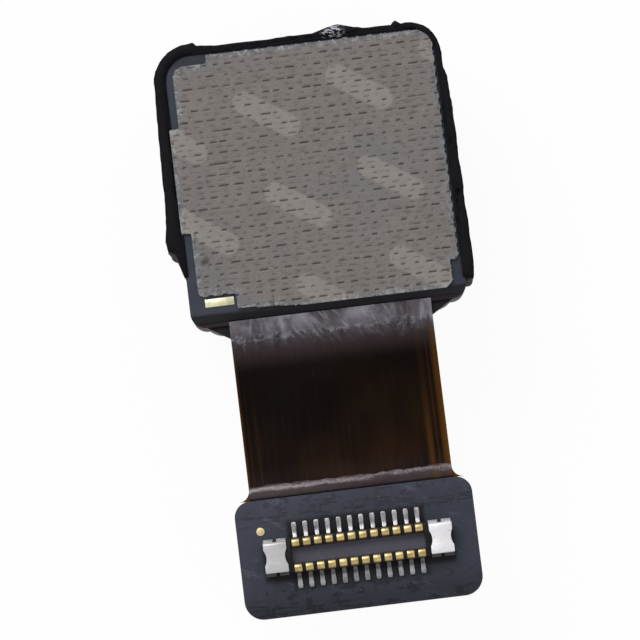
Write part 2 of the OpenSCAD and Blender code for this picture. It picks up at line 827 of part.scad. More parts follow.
// Room that a wrapped contact takes out of the wall
module contact_recess() {
  w = contact_w + 2 * recess_gap;
  translate([-w / 2, wall_in - cut, plug_floor]) cube([w, cut + recess, plug_h]);
  translate([-w / 2, wall_out - recess, -cut]) cube([w, cut, plug_h + 2 * cut]);
  translate([-w / 2, wall_in - cut, plug_h - recess]) cube([w, plug_wall + 2 * cut, cut]);
}

// Side view of a contact: over the wall, then out along the board
module contact_wrap() {
  top = plug_h - recess + contact_t;
  inner = wall_in + recess - contact_t;
  outer = wall_out - recess + contact_t;
  bend = 0.09;
  difference() {
    union() {
      translate([inner, plug_floor]) square([outer - inner, top - plug_floor - bend]);
      translate([inner + bend, plug_floor]) square([outer - inner - 2 * bend, top - plug_floor]);
      for (y = [inner + bend, outer - bend]) translate([y, top - bend]) circle(bend);
      translate([outer - contact_t, 0]) square([contact_t, plug_floor]);
    }
    translate([wall_in + recess, plug_floor - cut])
      square([plug_wall - 2 * recess, plug_h - recess - plug_floor + cut]);
  }
}

module contact_tail() {
  outer = wall_out - recess + contact_t;
  translate([outer - contact_t, 0]) square([tail_strip_l + contact_t, contact_t]);
}

module side_extrude(w) {
  rotate([90, 0, 90]) linear_extrude(w, center = true) children();
}

module contacts_row(row) {
  color([0.85, 0.7, 0.35]) translate([0, plug_y, plug_z]) mirror([0, row - 1, 0])
    for (i = [0:contacts - 1]) translate([contact_x(i), 0, 0]) {
      side_extrude(contact_w) contact_wrap();
      side_extrude(tail_strip_w) contact_tail();
    }
}

// Solder that wets the top and the end of each tail
module solder_row(row) {
  outer = wall_out - recess + contact_t;
  end = outer + tail_strip_l;
  skin = contact_t + solder_skin;
  color([0.75, 0.76, 0.78]) translate([0, plug_y, plug_z]) mirror([0, row - 1, 0])
    for (i = [0:contacts - 1]) translate([contact_x(i), 0, 0]) side_extrude(tail_strip_w)
      polygon([[outer, contact_t], [outer, contact_t + solder_h], [outer + solder_fillet, skin],
        [end, skin], [end + solder_toe, 0], [end, 0], [end, contact_t]]);
}

// Side view of a folded hold-down: over the block, down both sides and out in two feet
module holddown_wrap() {
  top = plug_h + holddown_t;
  leg = block_r + holddown_t;
  bend = holddown_t + bend_r;
  difference() {
    union() {
      translate([-leg, 0]) square([2 * leg, top - bend]);
      translate([bend - leg, 0]) square([2 * (leg - bend), top]);
      for (y = [-1, 1]) {
        translate([y * (leg - bend), top - bend]) circle(bend);
        translate([y * (leg + foot_l / 2) - foot_l / 2, 0]) square([foot_l, holddown_t]);
      }
    }
    translate([-block_r, -cut]) square([2 * block_r, plug_h + cut]);
  }
}

// Hold-down over an end block: waisted top plate, and two prongs with flared feet on each side
module hold_down(side) {
  w = plug_end_x - wall_end_x - holddown_gap;
  waist_x = w / 2 - waist + waist_r;
  slot_h = plug_h - slot_margin;
  color([0.82, 0.81, 0.8]) translate([side * (plug_end_x - w / 2), plug_y, plug_z])
    difference() {
      side_extrude(w) holddown_wrap();
      // waist of the top plate
      for (x = [-1, 1]) translate([x * waist_x, 0, plug_h - cut / 2]) cylinder(h = cut, r = waist_r);
      // slot between the two prongs of each side
      for (y = [0, 1]) mirror([0, y, 0]) translate([-prong_gap / 2, block_r - skim, -cut])
        cube([prong_gap, skim + holddown_t + foot_l + cut, cut + slot_h]);
    }
}

// ---------- the parts ----------

shield_can();
spacer_frame();
upper_spring();
for (i = [1:4]) magnet(i);
coil();
lens_carrier();
lower_spring(-1);  // lower_spring_left
lower_spring(1);  // lower_spring_right
terminal(-1);  // terminal_left
terminal(1);  // terminal_right
actuator_base();
lens_barrel();
for (i = [1:lens_count]) lens(i - 1);
for (i = [1:4]) baffle(i);
lens_retainer();
ir_filter();
sensor_holder();
image_sensor();
bond_wires();
driver_chip();
memory_chip();
for (i = [1:4]) capacitor(i);
lower_board();
flex_circuit();
upper_board();
conductive_cloth();
ground_pad();
index_dot();
root_bead();
root_fillet();
connector_bead();
connector_board();
connector_stiffener();
plug_housing();
contacts_row(1);  // contacts_row_1
contacts_row(2);  // contacts_row_2
solder_row(1);  // solder_row_1
solder_row(2);  // solder_row_2
hold_down(-1);  // hold_down_left
hold_down(1);  // hold_down_right
side_tape();
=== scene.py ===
"""Finished surfaces, small pieces and stage for the camera module."""

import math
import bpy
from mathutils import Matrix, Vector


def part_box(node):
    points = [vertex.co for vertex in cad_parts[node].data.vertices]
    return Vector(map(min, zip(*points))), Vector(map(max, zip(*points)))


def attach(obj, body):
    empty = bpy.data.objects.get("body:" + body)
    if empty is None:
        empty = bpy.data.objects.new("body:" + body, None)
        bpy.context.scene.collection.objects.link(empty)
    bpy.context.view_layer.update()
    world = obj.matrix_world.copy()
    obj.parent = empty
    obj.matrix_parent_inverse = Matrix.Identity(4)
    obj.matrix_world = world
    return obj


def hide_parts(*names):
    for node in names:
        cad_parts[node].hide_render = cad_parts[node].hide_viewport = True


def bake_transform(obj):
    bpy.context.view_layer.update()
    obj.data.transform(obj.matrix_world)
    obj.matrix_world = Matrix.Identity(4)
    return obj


bl_info = {
    "name": "Camera module finishes",
    "version": (1, 0, 0),
    "blender": (4, 5, 0),
    "location": "3D View > Sidebar > Camera module",
    "description": "Dresses the camera module's frame with cloth, tape, resin, contacts and a stage",
    "category": "Object",
}

import bpy
import numpy as np
from bpy.props import FloatProperty, FloatVectorProperty, IntProperty, PointerProperty
from mathutils import Matrix, Vector

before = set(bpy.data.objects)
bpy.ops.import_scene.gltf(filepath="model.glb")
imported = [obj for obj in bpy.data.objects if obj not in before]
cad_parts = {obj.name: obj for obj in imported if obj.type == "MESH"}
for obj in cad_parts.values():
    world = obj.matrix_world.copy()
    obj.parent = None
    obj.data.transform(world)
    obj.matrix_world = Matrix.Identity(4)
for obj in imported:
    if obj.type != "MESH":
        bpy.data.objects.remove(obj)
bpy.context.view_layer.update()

MM = 0.001
CONTACTS = 12  # in one row
CONTACT_WIDTH = 0.25  # mm
WALL_INNER, WALL_OUTER = 0.27, 0.51  # mm, from the plug's middle line to a long wall's two sides
SPRING_STEP = 0.3  # mm, from the coil's outside to the springs' inner rings
SPRING_GAP = 0.3  # mm, in which the springs' arms lie
SPRING_PLAY = 0.005  # mm, by which the arms are cut short at both ends
ARM_SWEEP = math.radians(62)
FLOOR_LEVEL = -0.02  # mm
VIEW_MIDDLE = (-0.34, -4.55)  # mm, where the line of sight meets the module's back
KEY_PLACE = Vector((-45, 85, 120))  # mm
KEY_AIM = Vector((0, -4, 5))  # mm


def box_mm(node):
    """Lowest and highest corner of a CAD node, in millimetres."""
    low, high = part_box(node)
    return low / MM, high / MM


# ---------- what a user may change ----------


def linear(code):
    """A linear colour from a six-digit colour code."""
    parts = [int(code[i : i + 2], 16) / 255 for i in (0, 2, 4)]
    return tuple(c / 12.92 if c <= 0.04045 else ((c + 0.055) / 1.055) ** 2.4 for c in parts)


def colour(name, what, code):
    """A colour setting, by what it colours."""
    return FloatVectorProperty(
        name=name, description="Colour of the " + what, subtype="COLOR", size=3, min=0, max=1,
        default=linear(code),
    )


def length(name, description, millimetres):
    """A setting for a length."""
    return FloatProperty(
        name=name, description=description, subtype="DISTANCE", unit="LENGTH", precision=6,
        default=millimetres * MM,
    )


class ClothSettings(bpy.types.PropertyGroup):
    yarn: colour("Yarn", "metallised yarn", "736d6a")
    # a paler yarn tone, also used as a painted highlight on the threads' crowns
    bright: colour("Crowns", "yarn's bright crowns", "8b8581")
    cool: colour("Cool yarn", "yarn where it is bluish, and near the edges", "6f7277")
    gap: colour("Gaps", "gaps between the yarns", "46403e")
    mark: colour("Marks", "pale printed bars", "98928c")
    fringe: colour("Fringe", "frayed metal along the edges", "a9a8ab")
    row_pitch: length("Row pitch", "Distance between the rows of open gaps", 0.349)
    gap_pitch: length("Gap pitch", "Distance between the gaps of one row", 0.42)
    gap_depth: length("Gap depth", "Depth of the open gaps", 0.04)
    seed: IntProperty(name="Seed", description="Start of the weave's irregularities", default=7)


class BoardSettings(bpy.types.PropertyGroup):
    laminate: colour("Laminate", "filmed laminate", "363944")
    worn: colour("Clouds", "laminate's paler clouds", "434754")
    scuff: colour("Scuffs", "laminate where it is rubbed", "666b78")
    # painted shadow: this colour, named bare laminate, darkens the board round the plug and the
    # hold-downs and draws the tracks, holes and walls in painted shade
    shadow: colour("Bare laminate", "bare laminate round the plug", "121015")
    # the colour of dark grit, tape folds and the black resin fillet, and also painted shade on the
    # body's lower slope and walls and at the tail's root
    ink: colour("Edge ink", "inked lower edge", "1a181c")
    tape: colour("Tape", "side tape", "0d0c12")
    shred: colour("Torn fibres", "tape's torn fibres", "b9b7c0")


class TailSettings(bpy.types.PropertyGroup):
    film: colour("Film", "dark cover film", "150c09")
    core: colour("Dark film", "film over the ground planes", "090504")
    warm: colour("Thin film", "film where it is thin", "33210f")
    amber: colour("Bare film", "bare film at the edges", "654113")
    haze: colour("Resin haze", "film under thin resin", "3d3235")
    resin: colour("Root resin", "resin at the root", "68646c")
    streak: colour("Resin streaks", "scratches in the resin", "a2a0ab")
    ridge: colour("Ridge", "resin ridge", "4f4444")
    # painted highlight along the resin ridge's upper side
    crest: colour("Ridge crest", "ridge's rough crest", "a1989b")


class MetalSettings(bpy.types.PropertyGroup):
    gold: colour("Gold", "contacts' plating", "f0d79a")
    # painted shade: the gold's colour where it runs down the walls
    gold_shade: colour("Shaded gold", "plating down the walls", "4a3218")
    pale_gold: colour("Pale gold", "ground pad's plating", "fffad6")
    dot_gold: colour("Dot gold", "index dot's plating", "ecd9a8")
    tin: colour("Tin", "tinned hold-downs and the solder", "dcdadc")
    spring: colour("Spring", "leaf springs", "cbb98c")
    copper: colour("Copper", "coil's wire", "b8703c")
    nickel: colour("Nickel", "magnets' plating", "b9bbbf")


class MouldingSettings(bpy.types.PropertyGroup):
    plug: colour("Plug", "plug's moulding", "0e0d12")
    # painted highlight: the groove's floor painted paler than the black moulding
    groove: colour("Groove", "plug's polished floor", "5a5966")
    black: colour("Black moulding", "actuator's mouldings", "19191c")
    barrel: colour("Barrel", "lens barrel", "141415")
    can: colour("Can", "shield can's coating", "1b1b1e")
    ceramic: colour("Ceramic", "capacitors", "8a6d4d")
    silicon: colour("Silicon", "sensor die", "343c4c")


class StageSettings(bpy.types.PropertyGroup):
    floor: colour("Floor", "floor", "ffffff")
    plain: FloatProperty(
        name="Plain floor", description="Share of the floor that no shadow darkens", default=0.94
    )
    tent: FloatProperty(name="Tent", description="Level of the even light", default=0.66)
    opening: FloatProperty(
        name="Opening", description="How much dimmer the tent is overhead", default=0.5
    )
    key: FloatProperty(
        name="Key lamp", description="Power of the key lamp", unit="POWER", default=0.105
    )
    distance: length("Camera distance", "From the camera to the module's back", 90)
    view_width: length("View width", "Width of the view at the module's back", 20.02)
    tilt: FloatProperty(
        name="Tilt", description="Lean of the camera towards the plug", subtype="ANGLE",
        default=math.radians(5),
    )
    turn: FloatProperty(
        name="Turn", description="Turn of the picture about the line of sight", subtype="ANGLE",
        default=math.radians(6.9),
    )


SETTINGS = {
    "cloth": ClothSettings,
    "board": BoardSettings,
    "tail": TailSettings,
    "metal": MetalSettings,
    "moulding": MouldingSettings,
    "stage": StageSettings,
}


def setting(group):
    """One group of settings."""
    return getattr(bpy.context.scene, "module_" + group)


def shade(tint, factor):
    """A colour made darker or lighter."""
    return tuple(min(1.0, c * factor) for c in tint)


# ---------- shaders as expressions ----------


class Value:
    """A shader socket on which Python's operators add Math nodes."""

    def __init__(self, graph, socket):
        self.graph, self.socket = graph, socket

    def math(self, operation, *others):
        return self.graph.math(operation, self, *others)

    def __add__(self, other):
        return self.math("ADD", other)

    def __sub__(self, other):
        return self.math("SUBTRACT", other)

    def __rsub__(self, other):
        return self.graph.math("SUBTRACT", other, self)

    def __mul__(self, other):
        return self.math("MULTIPLY", other)

    def __truediv__(self, other):
        return self.math("DIVIDE", other)

    def __pow__(self, other):
        return self.math("POWER", other)

    def __abs__(self):
        return self.math("ABSOLUTE")

    __radd__ = __add__
    __rmul__ = __mul__

    def sin(self):
        return self.math("SINE")

    def fraction(self):
        return self.math("FRACT")

    def least(self, other):
        return self.math("MINIMUM", other)

    def most(self, other):
        return self.math("MAXIMUM", other)

    def rise(self, low, high):
        """0 below low, 1 above high and smooth between them; low above high falls instead."""
        settings = {"interpolation_type": "SMOOTHSTEP", "clamp": True}
        ends = (low, high, 0.0, 1.0) if low < high else (high, low, 1.0, 0.0)
        return self.graph.node("MapRange", settings, {0: self, **dict(enumerate(ends, 1))})

    def near(self, middle, reach):
        """1 at middle, falling smoothly to 0 at reach on both sides of it."""
        return abs(self - middle).rise(reach, 0.0)

    def within(self, low, high, soft):
        """1 between low and high, with a soft border inside them."""
        return self.rise(low, low + soft) * self.rise(high, high - soft)


class Graph:
    """A node tree. Every node in it comes from node()."""

    def __init__(self, tree):
        self.tree = tree
        tree.nodes.clear()

    def node(self, kind, settings=None, sockets=None, out=0):
        """Adds a node, sets it, then fills its sockets with values or links, and gives one output."""
        made = self.tree.nodes.new("ShaderNode" + kind)
        for key, value in (settings or {}).items():
            setattr(made, key, value)
        for key, value in (sockets or {}).items():
            if isinstance(value, Value):
                self.tree.links.new(value.socket, made.inputs[key])
            elif value is not None:
                made.inputs[key].default_value = value
        return Value(self, made.outputs[out]) if made.outputs else None

    def outputs(self, kind, settings=None, sockets=None):
        """Adds a node and gives all its outputs by name."""
        made = self.node(kind, settings, sockets).socket.node
        return {output.name: Value(self, output) for output in made.outputs}

    def math(self, operation, *values):
        return self.node("Math", {"operation": operation}, dict(enumerate(values)))


class Finish(Graph):
    """One material, with its place in millimetres as at, x, y and z."""

    def __init__(self, name):
        self.material = bpy.data.materials.new(name)
        self.material.use_nodes = True
        super().__init__(self.material.node_tree)
        place = self.outputs("TexCoord")["Object"]
        self.at = self.node("VectorMath", {"operation": "MULTIPLY"}, {0: place, 1: (1 / MM,) * 3})
        self.x, self.y, self.z = self.outputs("SeparateXYZ", sockets={0: self.at}).values()

    def stretched(self, scale, turn=0.0):
        """The place in millimetres, turned about Z and then stretched."""
        sockets = {"Vector": self.at, "Angle": turn}
        turned = self.node("VectorRotate", {"rotation_type": "Z_AXIS"}, sockets)
        return self.node("VectorMath", {"operation": "MULTIPLY"}, {0: turned, 1: scale})

    def noise(self, scale, detail=2.0, rough=0.5, at=None):
        sockets = {"Vector": at or self.at, "Scale": scale, "Detail": detail, "Roughness": rough}
        return self.node("TexNoise", {"noise_dimensions": "3D"}, sockets)

    def cells(self, scale):
        return self.node("TexVoronoi", sockets={"Vector": self.at, "Scale": scale})

    def attribute(self, name):
        return self.outputs("Attribute", {"attribute_name": name})["Fac"]

    def blend(self, first, second, amount):
        """One colour going over to another."""
        sides = [c if isinstance(c, Value) else (*c, 1.0) for c in (first, second)]
        return self.node("Mix", {"data_type": "RGBA"}, {0: amount, 6: sides[0], 7: sides[1]}, out=2)

    def start(self, first, second, amount):
        """Begins the base colour as a blend of two."""
        self.base = self.blend(first, second, amount)

    def paint(self, tint, amount):
        """Lays a colour over the base colour."""
        self.base = self.blend(self.base, tint, amount)

    def surface(self, rough, height=None, level=None, metal=0.0, alpha=None, **fixed):
        """The Principled surface; height is a relief in millimetres, level the mirroring's strength."""
        normal = None
        if height is not None:
            normal = self.node("Bump", sockets={"Strength": 1.0, "Distance": MM, "Height": height})
        sockets = {
            "Base Color": self.base,
            "Roughness": rough,
            "Specular IOR Level": level,
            "Metallic": metal,
            "Alpha": alpha,
            "Normal": normal,
        }
        sockets.update({key.replace("_", " "): value for key, value in fixed.items()})
        shader = self.node("BsdfPrincipled", sockets=sockets)
        self.node("OutputMaterial", sockets={"Surface": shader})
        return self.material


# ---------- modelling helpers, in millimetres ----------


def object_mode():
    """Leaves the mesh."""
    bpy.ops.object.mode_set(mode="OBJECT")


def edit_mode():
    """Enters the active piece's mesh."""
    bpy.ops.object.mode_set(mode="EDIT")


def alone(piece):
    """Makes a piece the only selected and the active one."""
    if bpy.context.object and bpy.context.object.mode != "OBJECT":
        object_mode()
    bpy.ops.object.select_all(action="DESELECT")
    if piece is not None:
        bpy.context.view_layer.objects.active = piece
        piece.select_set(True)


def link(made):
    """Puts an object into the scene."""
    bpy.context.scene.collection.objects.link(made)


def fresh(name, add, **how):
    """Adds a primitive with nothing else selected and names it."""
    alone(None)
    add(**how)
    piece = bpy.context.active_object
    piece.name = piece.data.name = name
    bpy.ops.object.transform_apply(location=True, rotation=True, scale=True)
    return piece


def copy_of(node, name):
    """A merged copy of a CAD node's mesh, in millimetres, with its flat faces made whole."""
    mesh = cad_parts[node].data.copy()
    mesh.transform(Matrix.Scale(1 / MM, 4))
    mesh.materials.clear()
    piece = bpy.data.objects.new(name, mesh)
    link(piece)
    alone(piece)
    everything(piece)
    bpy.ops.mesh.remove_doubles(threshold=1e-4)
    bpy.ops.mesh.dissolve_limited(angle_limit=math.radians(0.5))
    bpy.ops.mesh.normals_make_consistent(inside=False)
    object_mode()
    return piece


def everything(piece):
    """Edit mode with all of a piece selected."""
    alone(piece)
    edit_mode()
    bpy.ops.mesh.select_all(action="SELECT")


def pick(piece, test, faces=False):
    """Edit mode with the vertices or faces selected at which test(x, y, z) is true."""
    alone(piece)
    mesh = piece.data
    parts = mesh.polygons if faces else mesh.vertices
    at = np.empty(len(parts) * 3, np.float32)
    parts.foreach_get("center" if faces else "co", at)
    chosen = np.broadcast_to(test(*at.reshape(-1, 3).T), len(parts))
    for group in (mesh.vertices, mesh.edges, mesh.polygons):
        group.foreach_set("select", np.zeros(len(group), bool))
    parts.foreach_set("select", chosen)
    bpy.context.tool_settings.mesh_select_mode = (not faces, False, faces)
    edit_mode()


def places(piece):
    """The piece's vertices as rows of x, y, z."""
    at = np.empty(len(piece.data.vertices) * 3, np.float32)
    piece.data.vertices.foreach_get("co", at)
    return at.reshape(-1, 3)


def border_of(piece):
    """Which of a sheet's vertices lie on its border."""
    mesh = piece.data
    edge_of = np.empty(len(mesh.loops), np.int32)
    mesh.loops.foreach_get("edge_index", edge_of)
    ends = np.empty(len(mesh.edges) * 2, np.int32)
    mesh.edges.foreach_get("vertices", ends)
    once = np.bincount(edge_of, minlength=len(mesh.edges)) == 1
    border = np.zeros(len(mesh.vertices), bool)
    border[ends.reshape(-1, 2)[once].ravel()] = True
    return border


def shift(piece, test, by):
    """Moves the vertices at which test(x, y, z) is true."""
    pick(piece, test)
    bpy.ops.transform.translate(value=by)
    object_mode()


def stretch(piece, test, by, about=(0, 0, 0)):
    """Scales the vertices at which test(x, y, z) is true about a point."""
    pick(piece, test)
    bpy.ops.transform.resize(value=by, center_override=about)
    object_mode()


def modify(piece, kind, **how):
    """Adds a modifier, sets it and applies it."""
    alone(piece)
    bpy.ops.object.modifier_add(type=kind)
    made = piece.modifiers[-1]
    for key, value in how.items():
        setattr(made, key, value)
    bpy.ops.object.modifier_apply(modifier=made.name)


def soften(piece, width, segments=2, angle=35):
    """Rounds a piece's edges."""
    limit = math.radians(angle)
    modify(piece, "BEVEL", width=width, segments=segments, limit_method="ANGLE", angle_limit=limit)


def group(piece, name, weigh):
    """A vertex group whose weight at each place is weigh(x, y, z)."""
    made = piece.vertex_groups.new(name=name)
    for vertex in piece.data.vertices:
        made.add([vertex.index], float(weigh(*vertex.co)), "REPLACE")
    return name


def roughen(piece, size, strength, direction="NORMAL", where="", mid=0.5):
    """Displaces a piece by a cloud pattern of the given grain."""
    clouds = bpy.data.textures.new("clouds", "CLOUDS")
    clouds.noise_scale = size
    clouds.noise_depth = 2
    modify(
        piece, "DISPLACE", texture=clouds, texture_coords="LOCAL", strength=strength,
        direction=direction, mid_level=mid, vertex_group=where,
    )
    bpy.data.textures.remove(clouds)


def skirt(piece, bottom):
    """Drops a sheet's border to a level and closes the sheet from below."""
    alone(piece)
    edit_mode()
    bpy.context.tool_settings.mesh_select_mode = (False, True, False)
    bpy.ops.mesh.select_all(action="DESELECT")
    bpy.ops.mesh.select_non_manifold()
    bpy.ops.mesh.extrude_region_move(TRANSFORM_OT_translate={"value": (0, 0, -0.01)})
    bpy.ops.transform.resize(value=(1, 1, 0), center_override=(0, 0, bottom))
    bpy.ops.mesh.edge_face_add()
    bpy.ops.mesh.select_all(action="SELECT")
    bpy.ops.mesh.normals_make_consistent(inside=False)
    object_mode()


def grid(name, low, high, level, cells_x, cells_y):
    """A flat grid between two corners."""
    piece = fresh(
        name, bpy.ops.mesh.primitive_grid_add, x_subdivisions=cells_x, y_subdivisions=cells_y, size=1
    )
    everything(piece)
    bpy.ops.transform.resize(value=(high[0] - low[0], high[1] - low[1], 1), center_override=(0, 0, 0))
    bpy.ops.transform.translate(value=((low[0] + high[0]) / 2, (low[1] + high[1]) / 2, level))
    object_mode()
    return piece


def join(pieces, name):
    """Several pieces as one."""
    alone(pieces[0])
    for piece in pieces[1:]:
        piece.select_set(True)
    bpy.ops.object.join()
    joined = bpy.context.active_object
    joined.name = joined.data.name = name
    return joined


def twin(piece, matrix):
    """A copy of a piece with its own mesh, moved by a matrix."""
    made = piece.copy()
    made.data = piece.data.copy()
    made.data.transform(matrix)
    if matrix.determinant() < 0:
        made.data.flip_normals()
    link(made)
    return made


def done(piece, finish, slot, replaced, body="module", angle=30):
    """Brings a piece to metres, gives it its finish and, unless body is None, the body it rides on."""
    piece.scale = (MM,) * 3
    alone(piece)
    bpy.ops.object.transform_apply(location=True, rotation=True, scale=True)
    if angle:
        bpy.ops.object.shade_smooth_by_angle(angle=math.radians(angle))
    piece.data.materials.clear()
    piece.data.materials.append(finish)
    if body:
        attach(piece, body)
    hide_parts(*replaced)


def dress(node, name, width, finish, slot, segments=2, body="module"):
    """Puts a softened copy with a finish in place of a CAD node."""
    piece = copy_of(node, name)
    soften(piece, width, segments)
    done(piece, finish, slot, [node], body=body)


def remove(*pieces):
    """Takes working pieces away again."""
    for piece in pieces:
        bpy.data.objects.remove(piece)


def coat(node, finish):
    """Gives a CAD node its finish."""
    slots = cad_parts[node].data.materials
    slots.clear()
    slots.append(finish)


# ---------- finishes ----------


def woven_cloth():
    """Metallised plain weave with printed bars, open gaps, stains and a frayed rim."""
    look = setting("cloth")
    f = Finish("woven_cloth")
    gap, rim = f.attribute("gap"), f.attribute("rim")
    thread = look.row_pitch / MM / 4
    # plain weave: each thread's crown, and which of two crossing threads lies on top
    over = (f.x * (math.pi / thread)).sin() * (f.y * (math.pi / thread)).sin()
    stitch = abs(over) * 0.7 + over * 0.3
    mottle = f.noise(1.3, 4.0, 0.7)
    patch = f.noise(0.45, 2.0)
    lying = f.noise(6.5, 4.0, 0.7, f.stretched((0.4, 1.5, 1.0)))
    upright = f.noise(5.0, 3.0, 0.65, f.stretched((1.6, 0.35, 1.0)))
    # printed bars: a slanted lattice, every other line moved by half a step
    across, along, slant = 4.4, 2.1, math.radians(34)  # mm from bar to bar and from line to line
    half, radius = 0.8, 0.4  # mm, half of a bar's straight part and the radius of its ends
    u, v, _ = f.outputs("SeparateXYZ", sockets={0: f.stretched((1, 1, 1), slant)}).values()
    line = (v / along).math("FLOOR")
    step = ((u + line * (across / 2)) / across).fraction() - 0.5
    side = (v / along).fraction() - 0.5
    reach = (abs(step) * across - half).most(0.0)
    edge = (reach * reach + side * side * along**2) ** 0.5
    bar = (edge + (lying - 0.5) * 0.16).rise(radius, radius - 0.1)
    # painted light of the weave: the stitch term paints a highlight on each thread's crown, and the gap
    # colour below paints shade between the threads; the noises are the yarn's own tone
    light = stitch * 0.12 + mottle * 0.6 + lying * 0.8 + upright * 0.25 - 0.42
    f.start(look.yarn, look.bright, light.rise(0, 1))
    dark = lying.rise(0.45, 0.3) * 0.35 + upright.rise(0.4, 0.28) * mottle.rise(0.4, 0.6) * 0.45
    f.paint(look.gap, (dark + stitch.rise(0.2, 0.0) * 0.06).least(0.6))
    f.paint(look.cool, (patch.rise(0.5, 0.68) * 0.35 + rim * 0.55).least(1.0))
    f.paint(look.mark, bar * (0.2 + lying * 0.5 + mottle * 0.25))
    fray = f.noise(5.0, 3.0, 0.7)
    f.paint(look.gap, rim * (lying * 0.5 + upright * 0.5).rise(0.5, 0.36) * 0.75)
    corner, far = box_mm("conductive_cloth")
    right = f.x.rise(far.x - 0.6, far.x - 0.3)
    frayed = rim * fray.rise(0.46, 0.62) * mottle.rise(0.35, 0.5) * (0.75 - right * 0.5)
    f.paint(look.fringe, frayed)
    stain = f.noise(6.0) * 0.1 + ((f.x - corner.x - 0.65) ** 2 + (f.y - corner.y - 1.62) ** 2)
    f.paint(look.gap, (gap * (0.7 + lying * 0.4)).most(stain.rise(0.09, 0.03)).least(1.0))
    relief = stitch * 0.004 + lying * 0.007 + upright * 0.003
    return f.surface(0.62 + lying * 0.25, relief, metal=0.1, level=0.3)


def laminate(f, fine, relief=0.0):
    """The filmed laminate's surface."""
    height = fine * 0.008 + f.noise(26.0, 2.0) * 0.003 + relief
    return f.surface(0.5 + fine * 0.25, height, level=0.25)


def laminate_colour(f):
    """Begins the base colour with clouded film and dark grit, and gives the fine cloud."""
    look = setting("board")
    broad = f.noise(0.7, 3.0, 0.6)
    fine = f.noise(5.0, 4.0, 0.65)
    f.start(look.laminate, look.worn, (broad * 0.9 + fine * 0.6 - 0.4).rise(0.05, 0.95))
    grit = f.cells(7.0).rise(0.2, 0.05) * fine.rise(0.42, 0.6)
    f.paint(look.ink, grit * 0.7)
    return fine


def body_laminate():
    """The laminate of the module's body, with painted shade on its lower slope and walls, and darker
    along its top edge.
    """
    look = setting("board")
    low, high = box_mm("upper_board")
    f = Finish("body_laminate")
    fine = laminate_colour(f)
    # painted shade: the lower slope and the walls below the top take the dark edge colour; a band along
    # the top edge is darker too
    edge_shade = (f.y - fine * 0.08).rise(low.y + 0.3, low.y + 0.2)
    top = (f.y + fine * 0.1).rise(high.y - 0.42, high.y - 0.3) * 0.55
    f.paint(look.ink, edge_shade.most(top).most(f.z.rise(high.z - 0.02, high.z - 0.06)) * 0.92)
    return laminate(f, fine)


def plug_laminate():
    """The plug's laminate: painted shadow round the tails and the hold-downs, tracks and filled holes
    with painted shade along them, shaded walls, darker towards the bottom, and scuffs.
    """
    look = setting("board")
    middle = plug_place()
    low, high = box_mm("connector_board")
    tails = box_mm("contacts_row_1")
    half = (tails[1].x - tails[0].x) / 2
    f = Finish("plug_laminate")
    fine = laminate_colour(f)
    x, y = f.x - middle.x, f.y - middle.y
    side = abs(y)
    lit = y.rise(-0.6, 0.6)
    # tracks under the film: outlines, lanes from the tails' ends and cross lines, all broken by chance
    wave = (fine - 0.5) * 0.07
    chance = f.noise(1.7, 2.0, 0.6, f.stretched((1.0, 1.6, 1.0)))
    boxes = f.stretched((0.8, 2.0, 1.0))
    sockets = {"Vector": boxes, "Scale": 1.7, "Randomness": 0.8}
    near, far = (
        f.node("TexVoronoi", {"feature": feature, "distance": "CHEBYCHEV"}, sockets)
        for feature in ("F1", "F2")
    )
    outline = (far - near + wave * 0.4).rise(0.075, 0.03) * chance.rise(0.47, 0.56)
    lane = abs(((x + wave) / contact_pitch()).fraction() - 0.5).rise(0.38, 0.43)
    fans = lane * side.within(1.05, 1.5, 0.06) * abs(x).rise(half + 0.1, half)
    fans = fans * chance.rise(0.42, 0.55) * 0.6
    cross = abs(((f.y + wave) / 0.19).fraction() - 0.5).rise(0.3, 0.38) * chance.rise(0.54, 0.6)
    cross = cross * (y.rise(-1.1, -1.2) + y.within(1.15, 1.65, 0.06)).least(1.0)
    holes = f.cells(1.35).near(0.11, 0.05).most(f.cells(1.9).rise(0.09, 0.05)) * side.rise(0.95, 1.05)
    relief = fans.most(cross).most(holes).most(outline * side.rise(0.9, 1.1)).least(1.0)
    # painted shade: the tracks and holes are drawn dark, partly their own marks and partly the shade
    # along their relief, darker on the lower side away from the light
    f.paint(look.shadow, relief * (0.55 - lit * 0.25))
    scuff = f.noise(1.3, 5.0, 0.7, f.stretched((1.0, 2.2, 1.0), 0.5)).rise(0.57, 0.7)
    specks = f.cells(6.0).rise(0.16, 0.06) * fine.rise(0.5, 0.62)
    f.paint(look.scuff, (scuff * (0.2 + fine * 0.35)).most(specks * 0.7))
    # painted shade on the walls below the top, and darker towards the bottom
    lower = f.y.rise(low.y + 1.2, low.y)
    f.paint(look.shadow, lower * 0.5 + f.z.rise(high.z - 0.02, high.z - 0.05) * 0.5)
    # painted shadow round the tails, strongest next to the plug and on its upper side
    edge = side + (fine - 0.5) * 0.12
    shadow_window = edge.within(0.4, 1.2, 0.2) * (abs(x) + (fine - 0.5) * 0.1).rise(half + 0.18, half + 0.04)
    f.paint(look.shadow, shadow_window * (0.55 + lit * 0.3).most(edge.rise(0.85, 0.65)))
    # painted shadow round the hold-downs at the plug's ends
    drift = (y + (fine - 0.5) * 0.15).within(-0.86, 0.5, 0.2)
    ends = abs(x).within(half - 0.1, half + 1.0, 0.14) * drift
    f.paint(look.shadow, ends * 0.92)
    return laminate(f, fine, relief * 0.012)


def plain_laminate():
    """The filmed laminate where nothing is on it."""
    f = Finish("dark_laminate")
    fine = laminate_colour(f)
    return laminate(f, fine)


